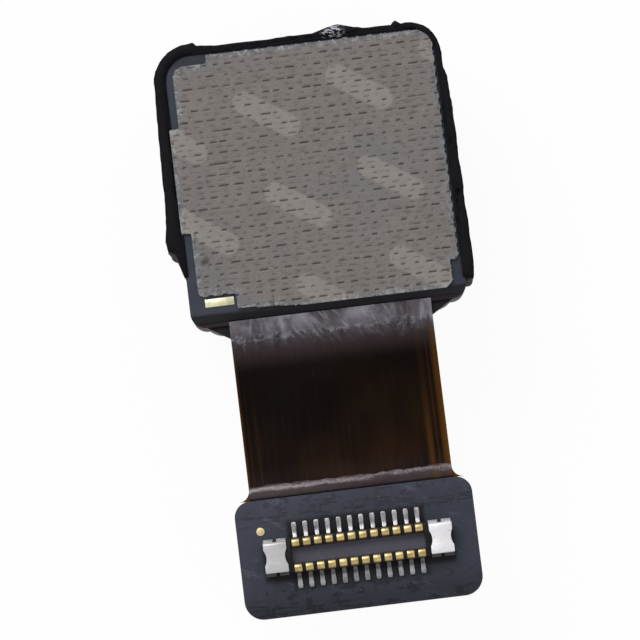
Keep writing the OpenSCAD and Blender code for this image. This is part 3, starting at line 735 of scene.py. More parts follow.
def taped():
    """Black tape with a torn tuft at the upper side."""
    look = setting("board")
    side = box_mm("upper_board")[1]
    f = Finish("side_tape")
    fold = f.noise(1.6, 4.0, 0.6, f.stretched((1, 1, 0.35)))
    fine = f.noise(12.0, 3.0, 0.6)
    lump = ((f.x - 1.15) ** 2 * 0.5 + (f.y - side.y - 0.12) ** 2).rise(0.1, 0.02)
    torn = lump * f.z.rise(side.z - 0.35, side.z - 0.1)
    shred = torn * f.noise(9.0, 3.0, 0.75, f.stretched((0.6, 1.5, 1), 0.3)).rise(0.5, 0.58)
    f.start(look.tape, look.ink, fold * 0.6)
    f.paint(look.shred, shred)
    return f.surface(0.55 + fine * 0.3, fold * 0.03 + fine * 0.012, level=0.12)


def cover_film():
    """Dark cover film over the tail, amber where it is thin at the edges."""
    look = setting("tail")
    root, end = box_mm("root_bead")[1].y, box_mm("connector_bead")[0].y
    edge = box_mm("connector_bead")[1].x
    f = Finish("brown_flex")
    down = f.y.rise(root - 0.6, end)
    tail = f.y.rise(root - 0.3, root - 0.7) * f.y.rise(end - 0.3, end)
    wave = f.noise(0.7, 2.0) * 0.06
    threads = f.noise(5.0, 3.0, 0.6, f.stretched((2.6, 0.1, 1.0)))
    line = edge - f.x - wave
    border = line.rise(0.23, 0.06) * (0.4 + down * 0.35)
    second = line.near(0.52, 0.15) * (0.05 + down * down * 0.5)
    third = line.near(0.3, 0.07) * (0.08 + down * 0.14)
    left = (f.x + edge + wave).rise(0.16, 0.02) * (0.2 + down * 0.35)
    inner = ((f.x + edge).near(0.45, 0.1) * 0.1 + (f.x + edge).near(0.2, 0.07) * 0.12) * down
    lines = border.most(second).most(left).most(third + inner)
    amber = lines * (0.55 + threads * 0.8).least(1.0) * tail
    middle = f.y.near((root + end) / 2 + 0.3, 2.2)
    f.start(look.film, look.core, middle * 0.8)
    # painted shade: the film darkens just below the board's edge, in the step's shade
    f.paint(setting("board").ink, f.y.rise(root - 0.2, root - 0.05))
    glow = down * f.noise(0.35, 2.0).rise(0.45, 0.65) * (f.x + 1.5).rise(-2.0, 1.0)
    f.paint(look.warm, glow * 0.45 + down * threads.rise(0.45, 0.75) * 0.2)
    near_root = f.y.rise(root - 1.7, root - 0.9) * (0.5 + threads * 0.4)
    f.paint(look.haze, near_root.most(f.y.rise(end + 1.2, end + 0.15) * threads * 0.45))
    scratch = f.noise(7.0, 3.0, 0.7, f.stretched((2.2, 0.22, 1.0), math.radians(-6)))
    f.paint(look.haze, scratch.rise(0.66, 0.75) * 0.25)
    f.paint(look.amber, amber)
    height = threads * 0.001 + f.noise(1.2, 2.0) * 0.02
    return f.surface(0.36 + threads * 0.2, height, level=0.05)


def root_resin():
    """Scratched resin at the root, fading out down the tail."""
    look = setting("tail")
    start = box_mm("root_bead")[1].y
    f = Finish("root_resin")
    slant = f.noise(2.6, 5.0, 0.7, f.stretched((3.2, 0.6, 1.0), math.radians(-32)))
    upright = f.noise(2.2, 4.0, 0.65, f.stretched((2.2, 0.6, 1.0)))
    middle = abs(f.x - 0.3).rise(1.9, 1.2)
    streak = slant * middle + upright * (1 - middle)
    broad = f.noise(0.9, 3.0, 0.6)
    lump = f.noise(3.2, 3.0, 0.6)
    f.start(look.haze, look.resin, (broad * 0.7 + streak * 0.9 - 0.35).rise(0.1, 0.6))
    f.paint(look.streak, streak.rise(0.5, 0.7) * (0.3 + broad * 0.45))
    f.paint(look.streak, f.y.rise(start - 0.5, start - 0.12) * broad.rise(0.42, 0.6) * 0.45)
    fade = f.y + (streak - 0.5) * 0.4 + (lump - 0.5) * 0.3
    speck = f.noise(5.0, 3.0, 0.7).rise(0.54, 0.64) * fade.near(start - 0.68, 0.3)
    f.paint(look.haze, f.x.rise(-1.5, -3.2) * 0.25)
    pale = (fade.near(start - 0.62, 0.14) * lump.rise(0.52, 0.66) * 0.7).most(speck) * 0.75
    f.paint(look.streak, pale)
    cover = fade.rise(start - 0.8, start - 0.5) * (0.72 + broad * 0.35).least(1.0)
    thin = fade.rise(start - 1.12, start - 0.55) * 0.35
    alpha = cover.most(thin) * f.y.rise(start - 1.18, start - 1.05)
    return f.surface(0.35 + streak * 0.3, streak * 0.025, alpha=alpha, level=0.3)


def ridge_resin():
    """The resin ridge, with a painted highlight along its top."""
    look = setting("tail")
    low, high = box_mm("connector_bead")
    f = Finish("ridge_resin")
    lump = f.noise(2.4, 4.0, 0.65, f.stretched((0.7, 1.6, 1.0)))
    fine = f.noise(14.0, 3.0, 0.65)
    left = f.x.rise(1.5, -3.0)
    # painted highlight: a pale, blotchy band along the ridge's upper side
    crest = (f.y + (lump - 0.5) * 0.3 - f.x * 0.008).near(high.y - 0.1, 0.11)
    f.start(look.haze, look.ridge, (lump * 0.8 + left * 0.5 + fine * 0.3 - 0.35).rise(0, 1))
    f.paint(look.film, f.y.rise(low.y + 0.12, low.y - 0.03) * 0.7)
    f.paint(look.crest, crest * (fine * 1.3 + left * 0.35 - 0.2).rise(0, 1))
    amber = (high.x - f.x).near(0.5, 0.2) * 0.5 + (high.x - f.x).rise(0.25, 0.05) * 0.4
    f.paint(look.amber, amber * (1 - crest * 0.7))
    return f.surface(0.6 + fine * 0.25, lump * 0.03 + fine * 0.012, level=0.2)


def plated(name, tint, rough, dents=0.004, grain=9.0, metal=1.0):
    """Plated metal, clouded and lightly dented."""
    f = Finish(name)
    cloud = f.noise(grain * 0.35, 3.0, 0.6)
    fine = f.noise(grain * 3, 2.0, 0.6)
    dark = shade(tint, 0.7)
    f.start(dark, tint, cloud.rise(0.25, 0.6))
    return f.surface(rough + fine * 0.12, cloud * dents + fine * dents * 0.3, metal=metal)


def wrapped_gold():
    """Gold over the plug's walls, with painted shade down the walls, at each contact's sides and on the
    lower wall's outer face, and tinned along the board.
    """
    metal = setting("metal")
    middle = plug_place()
    top = box_mm("contacts_row_1")[1].z
    f = Finish("gold_plating")
    fine = f.noise(24.0, 2.0, 0.6)
    side = abs(f.y - middle.y)
    across = abs(((f.x - middle.x) / contact_pitch()).fraction() - 0.5) * contact_pitch()
    f.start(shade(metal.gold, 0.7), metal.gold, f.noise(4.0).rise(0.35, 0.65))
    # painted shade: darker down the walls, at each contact's sides and off the middle of the crown
    flank_shade = f.z.rise(top - 0.02, top - 0.12).most(across.rise(0.085, 0.13) * 0.6)
    flank_shade = flank_shade.most(abs(side - (WALL_INNER + WALL_OUTER) / 2).rise(0.07, 0.12) * 0.8)
    f.paint(metal.gold_shade, flank_shade * 0.9)
    wet = f.z.rise(middle.z + 0.13, middle.z + 0.09) * side.rise(0.5, 0.53)
    f.paint(shade(metal.tin, 0.7), wet)
    # painted shade on the outer face of the lower wall
    lee_shade = (f.y - middle.y).within(-0.68, -0.45, 0.06)
    f.paint(metal.gold_shade, lee_shade * f.z.rise(top - 0.1, top - 0.2))
    return f.surface(0.34 + fine * 0.12, fine * 0.003, metal=0.9)


def solder():
    """Bright solder, with painted shadow on the lower row's tails below the plug's lower wall."""
    tin = setting("metal").tin
    middle = plug_place()
    f = Finish("solder")
    down = middle.y - f.y
    cloud = f.noise(5.0, 3.0, 0.6)
    f.start(shade(tin, 0.45), shade(tin, 0.8), cloud.rise(0.3, 0.6))
    # painted shadow on the lower row's tails, next to the wall and at their ends
    lower_row_shadow = down.within(0.3, 0.78, 0.1).most(down.rise(0.9, 1.12))
    f.paint(shade(tin, 0.12), lower_row_shadow * 0.85)
    return f.surface(0.34 + cloud * 0.15, cloud * 0.012, metal=0.75)


def tinned():
    """The tinned hold-downs, the right one painted lighter, with painted shade on their feet and a
    painted shadow on the foot below the plug.
    """
    tin = setting("metal").tin
    middle, top = plug_place(), box_mm("hold_down_left")[1].z
    f = Finish("tinned_metal")
    cloud = f.noise(2.1, 3.0, 0.6)
    fine = f.noise(18.0, 2.0, 0.6)
    # painted light: the right hold-down is lighter than the left
    lit = f.blend(shade(tin, 0.9), shade(tin, 1.4), f.x.rise(-2, 2))
    f.start(shade(tin, 0.7), lit, cloud.rise(0.25, 0.5))
    # painted shade on the feet at both ends, and a painted shadow on the foot below the plug
    off = f.y - middle.y + (cloud - 0.5) * 0.1
    walls = f.z.rise(top - 0.04, top - 0.12)
    f.paint(shade(tin, 0.3), abs(off).rise(0.4, 0.55) * walls * 0.75)
    f.paint(shade(tin, 0.08), off.rise(-0.38, -0.46) * walls * 0.9)
    return f.surface(0.4 + fine * 0.12, cloud * 0.015 + fine * 0.004, metal=0.5)


def moulded(name, tint, rough, relief=0.003, grain=22.0, level=0.3):
    """Matt moulding, coating or ceramic."""
    f = Finish(name)
    broad = f.noise(0.8, 3.0, 0.6)
    fine = f.noise(grain, 3.0, 0.6)
    light = tuple(min(1.0, c * 1.5 + 0.004) for c in tint)
    f.start(tint, light, (broad * 0.6 + fine * 0.5 - 0.15).rise(0.1, 0.9))
    return f.surface(rough + fine * 0.15, fine * relief, level=level)


def plug_moulding():
    """The plug's black moulding, with a painted highlight on the groove's floor."""
    look = setting("moulding")
    middle = plug_place()
    top = box_mm("plug_housing")[1].z
    end = 2.04  # mm, from the middle to the ends of the paler floor
    f = Finish("plug_black")
    fine = f.noise(20.0, 3.0, 0.6)
    # painted highlight: the groove's floor of the black moulding is painted paler, where light falls on
    # it
    floor = (f.y - middle.y).within(-0.27, 0.25, 0.05) * abs(f.x - middle.x).rise(end + 0.08, end)
    floor = floor * f.z.rise(top - 0.2, top - 0.26)
    f.start(look.plug, look.groove, floor * (0.7 + f.noise(1.5) * 0.4).least(1.0))
    return f.surface(0.4 + fine * 0.15, fine * 0.003, level=0.3)


def wound_copper():
    """The coil's enamelled turns."""
    wire = 0.05
    tint = setting("metal").copper
    f = Finish("copper_wire")
    turns = (f.z * (math.tau / wire)).sin()
    # painted shade in the grooves between the turns
    f.start(tint, shade(tint, 0.3), turns.rise(-0.3, -1.0))
    f.paint(shade(tint, 0.7), f.noise(2.0, 3.0) * 0.5)
    return f.surface(0.3 + f.noise(9.0) * 0.1, turns * (wire * 0.2), metal=0.9)


def clear_glass(name, tint, film):
    """Coated clear element."""
    f = Finish(name)
    dust = f.noise(30.0, 2.0, 0.7).rise(0.62, 0.9)
    f.start(tint, (1.0, 1.0, 1.0), dust * 0.3)
    coats = {"Thin_Film_Thickness": film, "Thin_Film_IOR": 1.7}
    return f.surface(0.01 + dust * 0.1, Transmission_Weight=1.0, IOR=1.53, **coats)


# ---------- the back: cloth, boards, tape ----------


class MODULE_OT_cloth(bpy.types.Operator):
    """Weaves the conductive cloth over the module's back"""

    bl_idname = "module.cloth"
    bl_label = "Conductive cloth"

    def execute(self, context):
        look = setting("cloth")
        low, high = box_mm("conductive_cloth")
        pad = box_mm("ground_pad")
        rng = np.random.default_rng(look.seed)
        row = look.row_pitch / MM
        cell = row / 8
        first = low.y + 0.1
        # the outline: a tab on the left, a step above it, a low right side with a cut corner
        left, tab_low, tab_high = low.x + 0.28, -1.41, 2.01
        step_x, step_y = left + 1.1, high.y - 0.28
        cut_x, cut_y = high.x - 0.27, low.y + 0.72
        pad_x, pad_y = pad[1].x + 0.04, pad[1].y + 0.04
        sag = 0.14
        down, up = math.ceil((first - low.y + sag) / cell), math.ceil((high.y - first) / cell)
        wide = math.ceil((high.x - low.x) / cell)
        right = low.x + wide * cell
        piece = grid(
            "cloth", (low.x, first - down * cell), (right, first + up * cell), high.z, wide, down + up
        )
        fray = 0.45 * cell

        def past(x, y, corner_x, corner_y, radius, right, up):
            """Outside a round corner that points right or left (1, -1) and up or down."""
            across, along = (x - corner_x) * right + radius, (y - corner_y) * up + radius
            return (across > 0) & (along > 0) & (np.hypot(across, along) > radius)

        def outside(x, y, z):
            x = x + fray * np.sin(y * 11) * np.sin(y * 27 + 1)
            y = y + fray * np.sin(x * 13 + 2) * np.sin(x * 29)
            tab = (y > tab_low) & (y < tab_high)
            bottom = low.y - sag * np.clip((x - low.x - 1.6) / 2, 0, 1)
            off = (x < left) & ~tab | (x > high.x) | (y < bottom) | (y > high.y)
            off |= (x < step_x) & (y > step_y) | (x > cut_x) & (y < cut_y) | (x < pad_x) & (y < pad_y)
            for corner in (
                (high.x, high.y, 0.55, 1, 1),
                (left, step_y, 0.4, -1, 1),
                (cut_x, low.y - sag, 0.32, 1, -1),
                (high.x, cut_y, 0.15, 1, -1),
                (left, pad_y, 0.2, -1, -1),
            ):
                off |= past(x, y, *corner)
            return off

        pick(piece, outside)
        bpy.ops.mesh.delete(type="VERT")
        bpy.ops.mesh.select_non_manifold()
        bpy.ops.mesh.vertices_smooth(factor=0.5, repeat=4)
        object_mode()

        lines = math.ceil((high.y - low.y) / row) + 1
        pitch = look.gap_pitch / MM
        count = math.ceil((high.x - low.x) / pitch) + 2

        def gaps(rise, least, most):
            """Strength of the gaps, by place, in the rows that start this share of a row up."""
            start = rng.uniform(0, pitch, (lines, 1)) + pitch * (np.arange(count) - 0.5)
            middle = low.x + start + rng.uniform(-0.07, 0.07, (lines, count))
            half = rng.uniform(least, most, (lines, count))
            depth = rng.uniform(0.6, 1.0, (lines, count))

            def strength(x, y, z):
                place = (y - first) / row - rise
                line = np.clip(np.rint(place), 0, lines - 1).astype(int)
                on_row = abs(place - line) * row < 0.3 * cell
                open_here = abs(x[:, None] - middle[line]) < half[line]
                return (open_here * depth[line]).max(axis=1) * on_row

            return strength

        def thread_row(x, y, z):
            place = (y - first) / (2 * cell)
            return abs(place - np.rint(place)) < 0.2

        def odd_column(x, y, z):
            return np.rint((x - low.x) / cell).astype(int) % 2 == 1

        at = places(piece)
        main, faint = gaps(0, 0.05, 0.15), gaps(0.5, 0.02, 0.11)
        dark = np.maximum(main(*at.T), faint(*at.T) * 0.6)
        border = border_of(piece)
        near = np.sqrt(((at[:, None, :2] - at[None, border, :2]) ** 2).sum(axis=2).min(axis=1))
        rim = np.exp(-((near / 0.17) ** 2))
        for name, values in (("gap", dark * (near > cell / 2)), ("rim", rim)):
            store = piece.data.attributes.new(name, "FLOAT", "POINT").data
            store.foreach_set("value", values.astype(np.float32))

        shift(piece, odd_column, (0, 0, -0.005))
        shift(piece, thread_row, (0, 0, -0.008))
        shift(piece, lambda *at: faint(*at) > 0, (0, 0, -0.012))
        for level in (0.3, 0.6, 0.8):
            shift(piece, lambda *at, level=level: main(*at) > level, (0, 0, -look.gap_depth / MM / 3))
        skirt(piece, low.z + 0.005)
        done(piece, woven_cloth(), "woven_cloth", ["conductive_cloth"], angle=60)
        return {"FINISHED"}


class MODULE_OT_tape(bpy.types.Operator):
    """Crumples the black tape round the module's sides"""

    bl_idname = "module.tape"
    bl_label = "Side tape"

    def execute(self, context):
        piece = copy_of("side_tape", "tape")
        everything(piece)
        bpy.ops.mesh.quads_convert_to_tris()
        object_mode()
        for limit in (1.6, 0.8, 0.4, 0.22):
            for _ in range(3):
                ends = np.array([e.vertices for e in piece.data.edges])
                at = np.array([v.co for v in piece.data.vertices])
                far = np.linalg.norm(at[ends[:, 0]] - at[ends[:, 1]], axis=1) > limit
                if not far.any():
                    break
                for part in (piece.data.vertices, piece.data.polygons):
                    part.foreach_set("select", np.zeros(len(part), bool))
                piece.data.edges.foreach_set("select", far)
                bpy.context.tool_settings.mesh_select_mode = (False, True, False)
                edit_mode()
                bpy.ops.mesh.subdivide(number_cuts=1)
                bpy.ops.mesh.quads_convert_to_tris()
                object_mode()
        side = box_mm("upper_board")[1].x
        corner, lift = 1.1, 0.06  # mm: radius of the body's corners, and where the tape is free

        def outer(x, y, z):
            """0 on the body's outline, 1 from where the tape is free."""
            across, up = max(abs(x) - side + corner, 0), max(y - side + corner, 0)
            return min(1.0, max(0.0, (math.hypot(across, up) - corner) / lift))

        where = group(piece, "outer", outer)
        roughen(piece, 0.7, 0.08, where=where, mid=-0.55)
        roughen(piece, 0.16, 0.03, where=where)
        done(piece, taped(), "black_tape", ["side_tape"], angle=50)
        return {"FINISHED"}


class MODULE_OT_boards(bpy.types.Operator):
    """Rounds the laminates' edges"""

    bl_idname = "module.boards"
    bl_label = "Boards"

    def execute(self, context):
        for node, finish, width in (
            ("lower_board", plain_laminate(), 0.02),
            ("upper_board", body_laminate(), 0.03),
            ("connector_board", plug_laminate(), 0.03),
            ("connector_stiffener", plain_laminate(), 0.02),
        ):
            dress(node, node + "_laminate", width, finish, "dark_laminate")
        return {"FINISHED"}


# ---------- the tail ----------


class MODULE_OT_tail(bpy.types.Operator):
    """Finishes the flex tail and pours the resin at both its ends"""

    bl_idname = "module.tail"
    bl_label = "Tail and resin"

    def execute(self, context):
        dress("flex_circuit", "flex_tail", 0.012, cover_film(), "brown_flex")
        floor = box_mm("flex_circuit")[1].z

        low, high = box_mm("root_bead")
        reach = 1.2
        piece = grid("root_resin", (low.x, high.y - reach), (high.x, high.y), high.z, 150, 30)
        for share in np.arange(0.1, 1.0, 0.1):
            edge = high.y - reach * share
            shift(piece, lambda x, y, z, edge=edge: y < edge, (0, 0, -0.1 * (high.z - floor)))
        where = group(piece, "front", lambda x, y, z: min(1.0, max(0.0, high.y - 0.1 - y)))
        roughen(piece, 0.25, 0.02, direction="Z", where=where)
        skirt(piece, floor + 0.001)
        done(piece, root_resin(), "grey_resin", ["root_bead"], angle=60)

        low, high = box_mm("connector_bead")
        rows = 14
        deep = high.y - low.y
        piece = grid("ridge_resin", (low.x, low.y), (high.x, high.y), floor + 0.02, 150, rows)
        for i in range(1, rows):
            place = low.y + deep * i / rows
            rise = (high.z - floor) * 0.6 * math.sin(math.pi * i / rows) ** 0.7
            shift(piece, lambda x, y, z, place=place: abs(y - place) < deep / rows / 4, (0, 0, rise))
        where = group(piece, "free", lambda x, y, z: min(1.0, max(0.0, (y - low.y) / deep)))
        roughen(piece, 0.5, 0.22, direction="Y", where=where)
        roughen(piece, 0.22, 0.08, direction="Z", where=where)
        skirt(piece, floor + 0.001)
        done(piece, ridge_resin(), "grey_resin", ["connector_bead"], angle=60)
        coat("root_fillet", moulded("black_resin", setting("board").ink, 0.5, 0.01, 3.0, 0.15))
        return {"FINISHED"}


# ---------- the plug ----------


def plug_place():
    """The plug's middle and its board's top."""
    low, high = box_mm("plug_housing")
    return Vector(((low.x + high.x) / 2, (low.y + high.y) / 2, box_mm("connector_board")[1].z))


def contact_pitch():
    """Distance between the plug's contacts."""
    low, high = box_mm("contacts_row_1")
    return (high.x - low.x - CONTACT_WIDTH) / (CONTACTS - 1)


class MODULE_OT_contacts(bpy.types.Operator):
    """Folds the plug's contacts and wets their tails with solder"""

    bl_idname = "module.contacts"
    bl_label = "Contacts and solder"

    def execute(self, context):
        middle = plug_place()
        high = box_mm("contacts_row_1")[1]
        pitch, thick, wide, tail = contact_pitch(), 0.06, CONTACT_WIDTH, 0.12
        inner, outer, foot = WALL_INNER, WALL_OUTER, 0.24
        half = (outer - inner) / 2
        end = high.y - middle.y
        crown = 0.1
        shoulder = high.z - middle.z - thick / 2 - crown
        # the strip's middle line: up from the groove, over the wall and out along the board
        turns = [math.pi * k / 10 for k in range(11)]
        line = [(inner, foot)]
        line += [(inner + half - half * math.cos(t), shoulder + crown * math.sin(t)) for t in turns]
        line += [(outer, 0.09), (outer + 0.01, 0.055), (outer + 0.035, 0.034)]
        line += [(outer + 0.07, thick / 2), (end - 0.02, thick / 2)]
        piece = fresh("contact", bpy.ops.mesh.primitive_plane_add, size=wide)
        pick(piece, lambda x, y, z: y > 0)
        bpy.ops.mesh.delete(type="VERT")
        object_mode()
        everything(piece)
        bpy.ops.transform.translate(value=(0, wide / 2 + line[0][0], line[0][1]))
        for here, there in zip(line, line[1:]):
            step = (0, there[0] - here[0], there[1] - here[1])
            bpy.ops.mesh.extrude_region_move(TRANSFORM_OT_translate={"value": step})
        object_mode()
        stretch(piece, lambda x, y, z: z < 0.1, (tail / wide, 1, 1))
        modify(piece, "SOLIDIFY", thickness=thick, offset=0.0)
        soften(piece, 0.025, 3, 40)

        run = end - outer - 0.03
        drop = fresh("drop", bpy.ops.mesh.primitive_cube_add, size=1)
        everything(drop)
        bpy.ops.mesh.subdivide(number_cuts=3)
        bpy.ops.transform.resize(value=(tail + 0.012, run, 0.06), center_override=(0, 0, 0))
        bpy.ops.transform.translate(value=(0, outer + 0.04 + run / 2, 0.055))
        object_mode()
        shift(drop, lambda x, y, z: (y < outer + 0.06) & (z > 0.05), (0, 0, 0.06))
        for part, swell in ((0.72, 1.22), (0.95, 1.05)):
            place = outer + 0.04 + run * part
            stretch(
                drop, lambda x, y, z, place=place: abs(y - place) < 0.07,
                (swell, 1, swell), (0, 0, 0.04),
            )
        modify(drop, "SUBSURF", levels=2, render_levels=2)

        gold = wrapped_gold()
        tin = solder()
        for row in (1, 2):
            turn = Matrix.Diagonal((1, 1 if row == 1 else -1, 1, 1))
            for source, name, finish, slot, node in (
                (piece, "gold_contacts_", gold, "gold_plating", "contacts_row_"),
                (drop, "solder_drops_", tin, "solder", "solder_row_"),
            ):
                copies = []
                for i in range(CONTACTS):
                    x = middle.x + (i - (CONTACTS - 1) / 2) * pitch
                    place = Matrix.Translation((x, middle.y, middle.z))
                    copies.append(twin(source, place @ turn))
                done(join(copies, name + str(row)), finish, slot, [node + str(row)], angle=50)
        remove(piece, drop)
        return {"FINISHED"}


class MODULE_OT_hold_downs(bpy.types.Operator):
    """Stamps the tinned hold-downs at the plug's ends"""

    bl_idname = "module.hold_downs"
    bl_label = "Hold-downs"

    def execute(self, context):
        tin = tinned()
        for node in ("hold_down_left", "hold_down_right"):
            dress(node, "tinned_" + node, 0.02, tin, "tinned_metal")
        return {"FINISHED"}


class MODULE_OT_plug(bpy.types.Operator):
    """Finishes the plug's housing, the index dot and the ground pad"""

    bl_idname = "module.plug"
    bl_label = "Plug housing and pads"

    def execute(self, context):
        dress("plug_housing", "plug_moulding", 0.008, plug_moulding(), "plug_black")
        pale = plated("bare_gold", setting("metal").pale_gold, 0.4, 0.004, metal=0.8)
        dot = plated("dot_gold", setting("metal").dot_gold, 0.4, 0.004, metal=0.6)
        for node, finish in (("index_dot", dot), ("ground_pad", pale)):
            dress(node, "bare_" + node, 0.012, finish, "gold_plating")
        return {"FINISHED"}


# ---------- the front and the inside ----------


class MODULE_OT_shell(bpy.types.Operator):
    """Finishes the shield can, the actuator's mouldings and the sensor holder"""

    bl_idname = "module.shell"
    bl_label = "Can and mouldings"

    def execute(self, context):
        look = setting("moulding")
        coating = moulded("can_metal", look.can, 0.45, 0.002, 30.0)
        dress("shield_can", "drawn_can", 0.06, coating, "can_metal", segments=3)
        black = moulded("black_moulding", look.black, 0.5)
        for node in ("actuator_base", "sensor_holder"):
            dress(node, "moulded_" + node, 0.02, black, "black_moulding")
        for node in ("spacer_frame", "lens_carrier"):
            coat(node, black)
        return {"FINISHED"}


class MODULE_OT_lens(bpy.types.Operator):
    """Finishes the barrel, its lenses, its baffles and the filter"""

    bl_idname = "module.lens"
    bl_label = "Lens group"

    def execute(self, context):
        look = setting("moulding")
        barrel = moulded("barrel_black", look.barrel, 0.45, 0.002, 40.0)
        dress("lens_barrel", "turned_barrel", 0.03, barrel, "barrel_black", body="lens_group")
        for node in ("baffle_1", "baffle_2", "baffle_3", "baffle_4", "lens_retainer"):
            coat(node, barrel)
        lens = clear_glass("lens_clear", (0.93, 0.96, 1.0), 320.0)
        for number in range(1, 6):
            coat(f"lens_{number}", lens)
        coat("ir_filter", clear_glass("filter_glass", (0.75, 0.93, 1.0), 450.0))
        return {"FINISHED"}


class MODULE_OT_springs(bpy.types.Operator):
    """Parts the leaf springs into rings, frames and arms"""

    bl_idname = "module.springs"
    bl_label = "Leaf springs"

    def execute(self, context):
        finish = plated("spring_metal", setting("metal").spring, 0.25)
        inner = box_mm("coil")[1].x - SPRING_STEP + SPRING_PLAY
        outer = inner + SPRING_GAP - 2 * SPRING_PLAY
        for node in ("upper_spring", "lower_spring_left", "lower_spring_right"):
            level = box_mm(node)[0].z

            def trimmed(source, name, radius, operation):
                """A copy of a piece, cut by a cylinder about the optical axis."""
                cutter = fresh(
                    "cutter", bpy.ops.mesh.primitive_cylinder_add,
                    vertices=96, radius=radius, depth=1, location=(0, 0, level),
                )
                piece = twin(source, Matrix())
                piece.name = piece.data.name = name
                modify(piece, "BOOLEAN", object=cutter, operation=operation, solver="EXACT")
                remove(cutter)
                return piece

            whole = copy_of(node, node + "_whole")
            ring = trimmed(whole, node + "_ring", inner, "INTERSECT")
            border = trimmed(whole, node + "_frame", outer, "DIFFERENCE")
            middle = trimmed(whole, node + "_arms", outer, "INTERSECT")
            arms = trimmed(middle, node + "_arms", inner, "DIFFERENCE")
            done(ring, finish, "spring_metal", [node], body="lens_group")
            done(border, finish, "spring_metal", [node])
            for number in range(4):
                turn = Matrix.Rotation(number * math.pi / 2, 3, "Z")
                side = turn @ Vector((1, 0, 0))
                arm = twin(arms, Matrix())
                arm.name = arm.data.name = f"{node}_arm_{number + 1}"
                pick(arm, lambda x, y, z, side=side: x * side.x + y * side.y < inner / 2, faces=True)
                bpy.ops.mesh.delete(type="FACE")
                bpy.ops.mesh.select_all(action="SELECT")
                bpy.ops.mesh.quads_convert_to_tris()
                object_mode()
                if not arm.data.polygons:
                    remove(arm)
                    continue
                done(arm, finish, "spring_metal", [node], body=None)
                reach = (inner + outer) / 2 * MM
                ends = [
                    turn @ Vector((reach * math.cos(a), reach * math.sin(a), level * MM))
                    for a in (-ARM_SWEEP / 2, ARM_SWEEP / 2)
                ]
                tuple(ends[0])
                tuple(ends[1])
                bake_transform(arm)
            remove(whole, middle, arms)
        return {"FINISHED"}


class MODULE_OT_inside(bpy.types.Operator):
    """Gives the actuator's and the sensor's inner pieces their finishes"""

    bl_idname = "module.inside"
    bl_label = "Inner pieces"

    def execute(self, context):
        metal, look = setting("metal"), setting("moulding")
        finishes = {
            plated("magnet_nickel", metal.nickel, 0.3): [f"magnet_{i}" for i in range(1, 5)],
            plated("terminal_gold", metal.gold, 0.3): ["terminal_left", "terminal_right", "bond_wires"],
            wound_copper(): ["coil"],
            moulded("silicon", look.silicon, 0.12, 0.0005, 60.0, 0.6): ["image_sensor"],
            moulded("chip_black", look.black, 0.4): ["driver_chip", "memory_chip"],
            moulded("capacitor_tan", look.ceramic, 0.5): [f"capacitor_{i}" for i in range(1, 5)],
        }
        for finish, nodes in finishes.items():
            for node in nodes:
                coat(node, finish)
        return {"FINISHED"}


# ---------- stage ----------


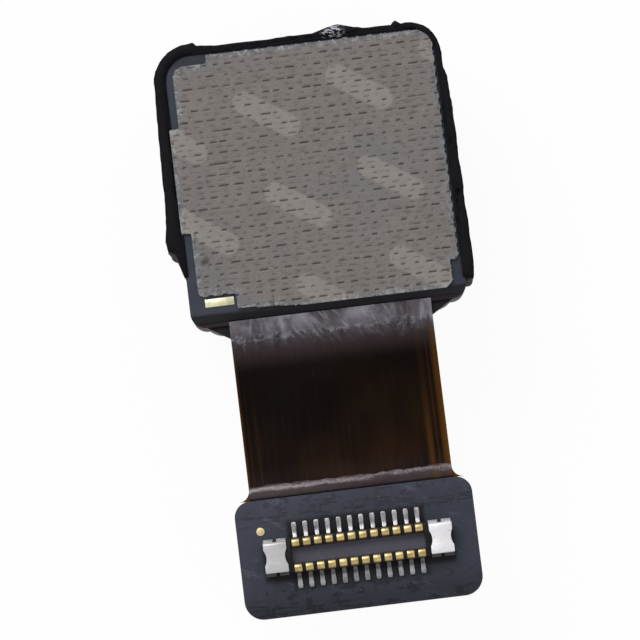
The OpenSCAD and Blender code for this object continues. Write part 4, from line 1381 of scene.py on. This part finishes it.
class MODULE_OT_stage(bpy.types.Operator):
    """Sets the floor, the light and the camera"""

    bl_idname = "module.stage"
    bl_label = "Stage"

    def execute(self, context):
        look = setting("stage")
        scene = context.scene
        scene.view_settings.view_transform = "Standard"

        alone(None)
        bpy.ops.mesh.primitive_plane_add(size=1.2, location=(0, 0, FLOOR_LEVEL * MM))
        floor = context.active_object
        floor.name = "floor"
        paint = bpy.data.materials.new("floor")
        paint.use_nodes = True
        f = Graph(paint.node_tree)
        path = f.outputs("LightPath")
        seen = path["Is Camera Ray"].most(path["Is Glossy Ray"]).most(path["Is Transmission Ray"])
        matt = f.node("BsdfDiffuse", sockets={"Color": (*look.floor, 1.0)})
        white = f.node("Emission", sockets={"Color": (1, 1, 1, 1), "Strength": 1.0})
        front = f.node("MixShader", sockets={0: seen * look.plain, 1: matt, 2: white})
        behind = f.outputs("NewGeometry")["Backfacing"]
        both = f.node("MixShader", sockets={0: behind, 1: front, 2: f.node("BsdfTransparent")})
        f.node("OutputMaterial", sockets={"Surface": both})
        floor.data.materials.append(paint)

        world = bpy.data.worlds.new("tent")
        scene.world = world
        world.use_nodes = True
        f = Graph(world.node_tree)
        up = f.outputs("SeparateXYZ", sockets={0: f.node("TexCoord")})["Z"]
        # an even tent with a dimmer opening overhead
        opening = up.rise(math.cos(math.radians(34)), math.cos(math.radians(20)))
        shown = f.outputs("LightPath")["Is Camera Ray"]
        strength = look.tent * (1 - opening * look.opening) * (1 - shown) + shown
        even = f.node("Background", sockets={"Color": (1, 1, 1, 1), "Strength": strength})
        f.node("OutputWorld", sockets={"Surface": even})

        key = bpy.data.lights.new("key", "AREA")
        key.energy, key.size = look.key, 0.07
        lamp = bpy.data.objects.new("key", key)
        lamp.location = KEY_PLACE * MM
        lamp.rotation_mode = "QUATERNION"
        lamp.rotation_quaternion = (KEY_AIM - KEY_PLACE).to_track_quat("-Z", "Y")
        link(lamp)

        target = Vector((*VIEW_MIDDLE, box_mm("upper_board")[1].z)) * MM
        away = Vector((0, -math.sin(look.tilt), math.cos(look.tilt)))
        top = Vector((math.sin(look.turn), math.cos(look.turn), 0))
        side = top.cross(away).normalized()
        top = away.cross(side)
        data = bpy.data.cameras.new("camera")
        data.sensor_width = 36
        data.lens = data.sensor_width * look.distance / look.view_width
        data.clip_start, data.clip_end = 0.005, 5
        camera = bpy.data.objects.new("camera", data)
        turn = Matrix((side, top, away)).transposed()
        camera.matrix_world = Matrix.Translation(target + away * look.distance) @ turn.to_4x4()
        link(camera)
        scene.camera = camera
        return {"FINISHED"}


OPERATORS = [
    MODULE_OT_stage,
    MODULE_OT_cloth,
    MODULE_OT_tape,
    MODULE_OT_boards,
    MODULE_OT_tail,
    MODULE_OT_contacts,
    MODULE_OT_hold_downs,
    MODULE_OT_plug,
    MODULE_OT_shell,
    MODULE_OT_lens,
    MODULE_OT_springs,
    MODULE_OT_inside,
]


class MODULE_PT_panel(bpy.types.Panel):
    """Lists the module's pieces"""

    bl_label = "Camera module"
    bl_idname = "MODULE_PT_panel"
    bl_space_type = "VIEW_3D"
    bl_region_type = "UI"
    bl_category = "Camera module"

    def draw(self, context):
        for operator in OPERATORS:
            self.layout.operator(operator.bl_idname)


CLASSES = [*SETTINGS.values(), *OPERATORS, MODULE_PT_panel]


def register():
    for made in CLASSES:
        bpy.utils.register_class(made)
    for name, made in SETTINGS.items():
        setattr(bpy.types.Scene, "module_" + name, PointerProperty(type=made))


def unregister():
    for name in SETTINGS:
        delattr(bpy.types.Scene, "module_" + name)
    for made in reversed(CLASSES):
        bpy.utils.unregister_class(made)


def main():
    register()
    for operator in OPERATORS:
        getattr(bpy.ops.module, operator.bl_idname.split(".")[1])()
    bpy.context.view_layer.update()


if __name__ == "__main__":
    main()
